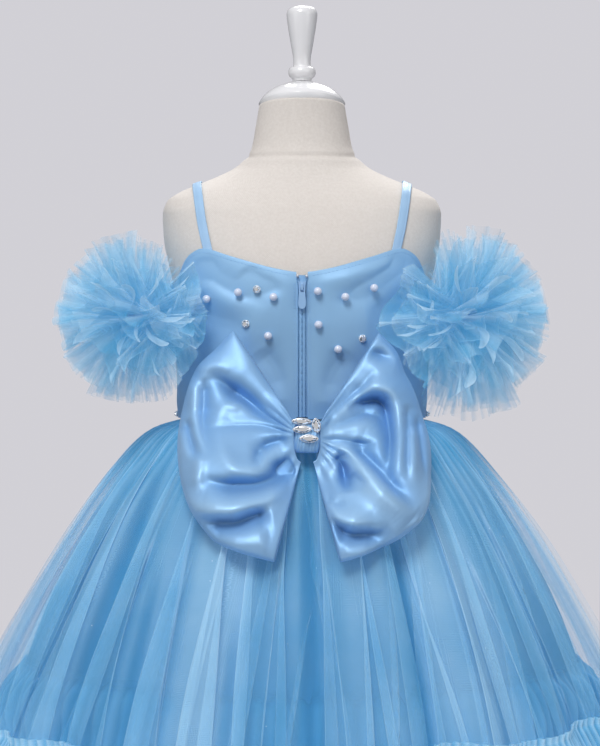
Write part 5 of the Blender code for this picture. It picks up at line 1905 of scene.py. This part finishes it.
def tier_sheet(row, tier, seed):
    side = row[0]
    _, lift_degrees, root_up, end_share = tier
    lift = math.radians(lift_degrees)
    place, share = np.meshgrid(np.linspace(-1, 1, 440), np.linspace(0, 1, 11) ** 0.9)
    spread = (place + 1) / 2
    wide = 7 * math.tau * spread + 0.9 * np.sin(9 * spread + seed) + seed
    small = 46 * math.tau * spread + 2.4 * np.sin(13 * spread + 2 * seed)
    small = small + 1.5 * np.sin(31 * spread + seed)
    size = uneven(spread, seed + 10, 0.6, 1.25, 9)
    grow = share**1.25
    near_end, calm = np.abs(place) ** 5, np.abs(place) ** 9
    loose = 1.55 if abs(lift_degrees) < MIDDLE_LIFT else 1.0
    back_wide, across_wide = looped(wide, 0.125 * size * grow, 0.0150 * loose * size * grow)
    back_small, across_small = looped(small, 0.016 * grow**0.6, 0.0014 * grow**0.8)
    angle = BAND_END * 0.985 * place + (back_wide + back_small) * (1 - calm)
    angle = np.clip(angle, -BAND_END * 0.985, BAND_END * 0.985)
    point, outward = band_frame(angle, side)
    upward = np.array([0, 0, 1.0])
    along = outward * math.cos(lift) + upward * math.sin(lift)
    cross = upward * math.cos(lift) - outward * math.sin(lift)
    root = point + outward * 0.0014 + upward * root_up
    length = reach_to_ball(row, root, along) * (1 - (1 - end_share) * near_end)
    notches = stepped(small, seed, 0.91, 1.04) * uneven(spread, seed + 30, 0.93, 1.0, 11)
    length = length * (1 - (1 - notches) * share)
    wave = (across_wide + across_small) * (1 - calm)
    wave = wave - math.copysign(0.0095, lift) * calm * share
    points = root + along * (length * share)[..., None] + cross * wave[..., None]
    behind = clear_of_bodice(points.copy(), 0.002, -1)
    before = clear_of_bodice(points.copy(), 0.002, 1)
    return np.where(points[..., 1:2] < 0, behind, before), share, small, wide


def build_tiers(row, number):
    name = row[1]
    for index, tier in enumerate(TIER_ROWS):
        points, share, small, wide = tier_sheet(row, tier, 1.7 * index + 5.1 * number)
        more = 0.10 if abs(tier[1]) < MIDDLE_LIFT else 0.0
        stripe = np.tanh(3 * np.sin(small + 0.5))
        # Painted light and shade on the pleats and loops, and a painted highlight along the cut edge.
        tone = 0.28 + 0.18 * np.cos(small) + 0.06 * ease(0.90, 1.0, share) + 0.16 * np.cos(wide)
        cover = np.clip(0.60 - 0.43 * share + 0.11 * stripe + more, 0, 0.9)
        worn = (sleeve_tulle, [f"sleeve_band_{name}_cloth"], [f"sleeve_{tier[0]}_{name}"])
        add_net(f"sleeve_{tier[0]}_{name}_net", points, *worn, cover, tone)


# %% [markdown]
# ### Fans and curls at the sleeve's ends
#
# Where the band turns in towards the bodice, its ruffles are bunched and spread into flat fans,
# with shorter ones in front, and the last are rolled into curls. Each is a sheet round a centre on
# the band.

# %% Fans and curls
# from and to in degrees, share of the outline, root out, edge out, loops, loop back, loop out,
# pleats, pleat size, width against height
FAN_ROWS = (
    (-120, 122, 1.00, 0.060, 0.036, 9, 0.50, 0.0045, 58, 1.0, 1.0),
    (-116, 118, 0.97, 0.064, 0.052, 8, 0.55, 0.0055, 52, 1.0, 1.0),
    (-128, 134, 0.84, 0.068, 0.070, 8, 0.75, 0.0075, 44, 0.9, 1.0),
)
CURL_ROWS = (
    (-150, 232, 0.72, 0.074, 0.094, 9, 1.30, 0.0090, 40, 0.30, 1.0),
    (-165, 228, 0.57, 0.078, 0.112, 7, 1.60, 0.0130, 30, 0.25, 1.1),
    (-180, 200, 0.44, 0.082, 0.124, 6, 1.75, 0.0130, 22, 0.25, 1.25),
    (-175, 175, 0.27, 0.086, 0.130, 4, 1.70, 0.0100, 12, 0.20, 1.3),
)
INNER_ROWS = (
    (138, 238, 1.02, 0.074, 0.090, 3, 0.90, 0.0060, 18, 0.5, 1.0),
    (150, 226, 0.84, 0.078, 0.102, 3, 1.20, 0.0080, 14, 0.3, 1.0),
)
# name, back or front, rows, points across, and the seed: first, for each row, for the other sleeve
FAN_SETS = (
    ("fan", -1, FAN_ROWS, 420, 0, 1.3, 1),
    ("inner", -1, INNER_ROWS, 160, 0, 2.7, 2),
    ("curl", -1, CURL_ROWS, 330, 0, 2.1, 3),
    ("front_fan", 1, FAN_ROWS[1:], 420, 5.3, 1.9, 1),
    ("front_curl", 1, CURL_ROWS[:3], 330, 7.7, 1.7, 1),
)
# painted light and shade of pleats, painted highlight at the edge, painted light and shade
# of loops; cover at the root, lost outwards, at the edge, of pleats
FAN_LOOK = (0.18, 0.06, 0.20, 0.40, 0.25, 0.0, 0.13)
CURL_LOOK = (0.05, 0.10, 0.26, 0.54, 0.12, 0.08, 0.03)
FAN_MIDDLE_X, FAN_MIDDLE_UP, FAN_ROOT = 0.139, 0.0880, 0.007
TURN = 6.28  # a full turn in radians, rounded, by which loops and pleats are sized


def fan_sheet(side, outline, row, seed, facing, across):
    first, last, share_out, root_out, edge_out, loops, back, out, pleats, pleat_size, stretch = row
    spread, share = np.meshgrid(np.linspace(0, 1, across), np.linspace(0, 1, 11) ** 0.85)
    span = math.radians(last - first)
    wide = loops * math.tau * spread + 1.1 * np.sin(8 * spread + seed) + 2 * seed
    small = pleats * math.tau * spread + 2.2 * np.sin(11 * spread + seed)
    small = small + 1.6 * np.sin(29 * spread - seed)
    size = uneven(spread, seed + 40, 0.65, 1.3, loops + 2)
    grow = share**1.1
    ends = ease(0, 0.05, spread) * ease(1, 0.95, spread)
    loop_back, loop_out = back * span / loops / TURN * size * grow, out * size * grow
    turn_back, depth_wide = looped(wide, loop_back, loop_out)
    pleat_back, pleat_out = 1.15 * span / pleats / TURN * grow**0.5, 0.0011 * grow**0.7
    small_back, depth_small = looped(small, pleat_back, pleat_out)
    small_back, depth_small = small_back * pleat_size, depth_small * pleat_size
    angle = math.radians(first) + span * spread + (turn_back + small_back) * ends
    degrees = np.degrees(angle)
    degrees = np.where(degrees > 236, degrees - 360, degrees)
    degrees = np.where(degrees < -124, degrees + 360, degrees)
    table = np.array(sorted(outline + ((outline[0][0] + 360, outline[0][1]),)), float)
    reach = np.interp(degrees, table[:, 0], table[:, 1]) / 1000 * share_out
    rough = max(0.12, pleat_size)
    reach = reach * stepped(small, seed, 1 - 0.07 * rough, 1 + 0.05 * rough)
    reach = reach * uneven(spread, seed + 60, 0.91, 1.02, 12)
    ripple = out * 0.9 * size * grow * np.sin(wide + 0.9) * (share_out < 0.8)
    radius = FAN_ROOT + (reach - FAN_ROOT) * share + ripple
    depth = root_out + (edge_out - root_out) * share**1.4 + (depth_wide + depth_small) * ends
    x = side * (FAN_MIDDLE_X + radius * stretch**0.5 * np.cos(angle))
    z = WAIST + FAN_MIDDLE_UP + radius / stretch**0.5 * np.sin(angle)
    gap = 0.003 + 0.25 * max(0, edge_out - 0.06)
    points = clear_of_bodice(spots(x, facing * depth, z), gap, facing)
    return points, share, small, wide


def build_fans(row, outline, number):
    side, name = row[:2]
    band = [f"sleeve_band_{name}_cloth"]
    for kind, facing, layers, across, first_seed, row_seed, side_seed in FAN_SETS:
        look = FAN_LOOK if "fan" in kind else CURL_LOOK
        pleats, edge, loops, start, lost, rim, stripes = look
        for i, layer in enumerate(layers):
            seed = first_seed + row_seed * i + side_seed * number
            points, share, small, wide = fan_sheet(side, outline, layer, seed, facing, across)
            stripe = np.tanh(3 * np.sin(small + 0.5))
            # Painted light and shade on the pleats and loops, a painted highlight along the edge, and
            # painted shade near the band at the root.
            tone = 0.30 + pleats * np.cos(small) + edge * ease(0.93, 1.0, share)
            tone = tone + loops * np.cos(wide) * share - 0.28 * (1 - share)
            cover = start - lost * share + 0.30 * ease(0.4, 0.0, share)
            cover = cover + rim * ease(0.955, 1.0, share) + stripes * stripe
            cover = np.clip(cover, 0, MOST_COVER)
            add_net(f"sleeve_{kind}_{i}_{name}", points, sleeve_tulle, band, (), cover, tone)


for number, (row, outline) in enumerate(zip(SLEEVE_ROWS, (LEFT_OUTLINE, RIGHT_OUTLINE))):
    build_band(row[1], row[0])
    build_tiers(row, number)
    build_fans(row, outline, number)

# %% [markdown]
# ## Camera, light and floor
#
# The gown is seen level, straight from behind and from far away, so that it hardly narrows with
# distance. The light is that of a white studio: a pale room with a large lamp high on the left,
# weaker ones on both sides and one before the gown. The floor is a pale disc whose rim fades out.

# %% Camera, light and floor
CAMERA_PLACE = (-0.0017, -2.2, 0.5)
CAMERA_LENS = 123.4  # millimetres, on a 36 mm sensor
ROOM_LIGHT = (0.11, 0.68)  # how much the floor and the ceiling light the gown, against how they look


def add_lamp(name, place, aim, width, power):
    lamp = bpy.data.lights.new(name, "AREA")
    lamp.shape = "DISK"
    lamp.size = width
    lamp.energy = power
    made = put_in(name, lamp)
    made.location = place
    made.rotation_euler = (Vector(aim) - Vector(place)).to_track_quat("-Z", "Y").to_euler()


def build_floor():
    turns = all_round(96)
    radius = np.array([0.001, 0.25, 0.5, 0.62, 0.74, 0.86, 0.98])[:, None]
    points = spots(radius * np.cos(turns), radius * np.sin(turns), 0.0)
    mesh = grid_mesh("floor", points, True)
    keep_values(mesh, inside=np.broadcast_to(1 - ease(0.55, 0.97, radius), points.shape[:2]))
    made, tree, shader = start_finish("floor", 0.9, specular=0.1)
    paint(tree, shader, cloud(tree, 3.0), (0.78, 0.775, 0.79), (0.82, 0.815, 0.83))
    feed(tree, shader.inputs["Alpha"], stored(tree, "inside"))
    mesh.materials.append(made)
    put_in("floor", mesh)


def build_studio():
    camera = put_in("camera", bpy.data.cameras.new("camera"))
    camera.data.lens = CAMERA_LENS
    camera.location = CAMERA_PLACE
    camera.rotation_euler = (math.pi / 2, 0, 0)
    scene = bpy.context.scene
    scene.camera = camera
    world = bpy.data.worlds.new("studio")
    world.use_nodes = True
    tree = world.node_tree
    backdrop = tree.nodes["Background"]
    backdrop.inputs["Color"].default_value = (0.640, 0.632, 0.672, 1)
    seen = node(tree, "ShaderNodeLightPath").outputs["Is Camera Ray"]
    direction = node(tree, "ShaderNodeTexCoord").outputs["Generated"]
    upward = node(tree, "ShaderNodeSeparateXYZ", {0: direction}).outputs["Z"]
    low, high = ROOM_LIGHT
    lit = calc(tree, "MULTIPLY_ADD", upward, (high - low) / 2, (high + low) / 2)
    plain = calc(tree, "MULTIPLY_ADD", seen, calc(tree, "SUBTRACT", 1.0, lit), lit)
    feed(tree, backdrop.inputs["Strength"], plain)
    scene.world = world
    scene.view_settings.view_transform = "Standard"
    scene.cycles.transparent_max_bounces = 40
    add_lamp("key", (-0.6, -2.0, 2.6), (0, 0, 0.5), 1.3, 53)
    add_lamp("fill", (2.0, -1.9, 1.1), (0, 0, 0.45), 1.6, 9)
    add_lamp("side", (-2.2, -1.7, 1.1), (0, 0, 0.45), 1.6, 6)
    add_lamp("behind", (0.3, 1.5, 2.2), (0, 0, 0.5), 1.4, 34)


build_floor()
build_studio()
print("camera", CAMERA_PLACE, "lens", CAMERA_LENS)
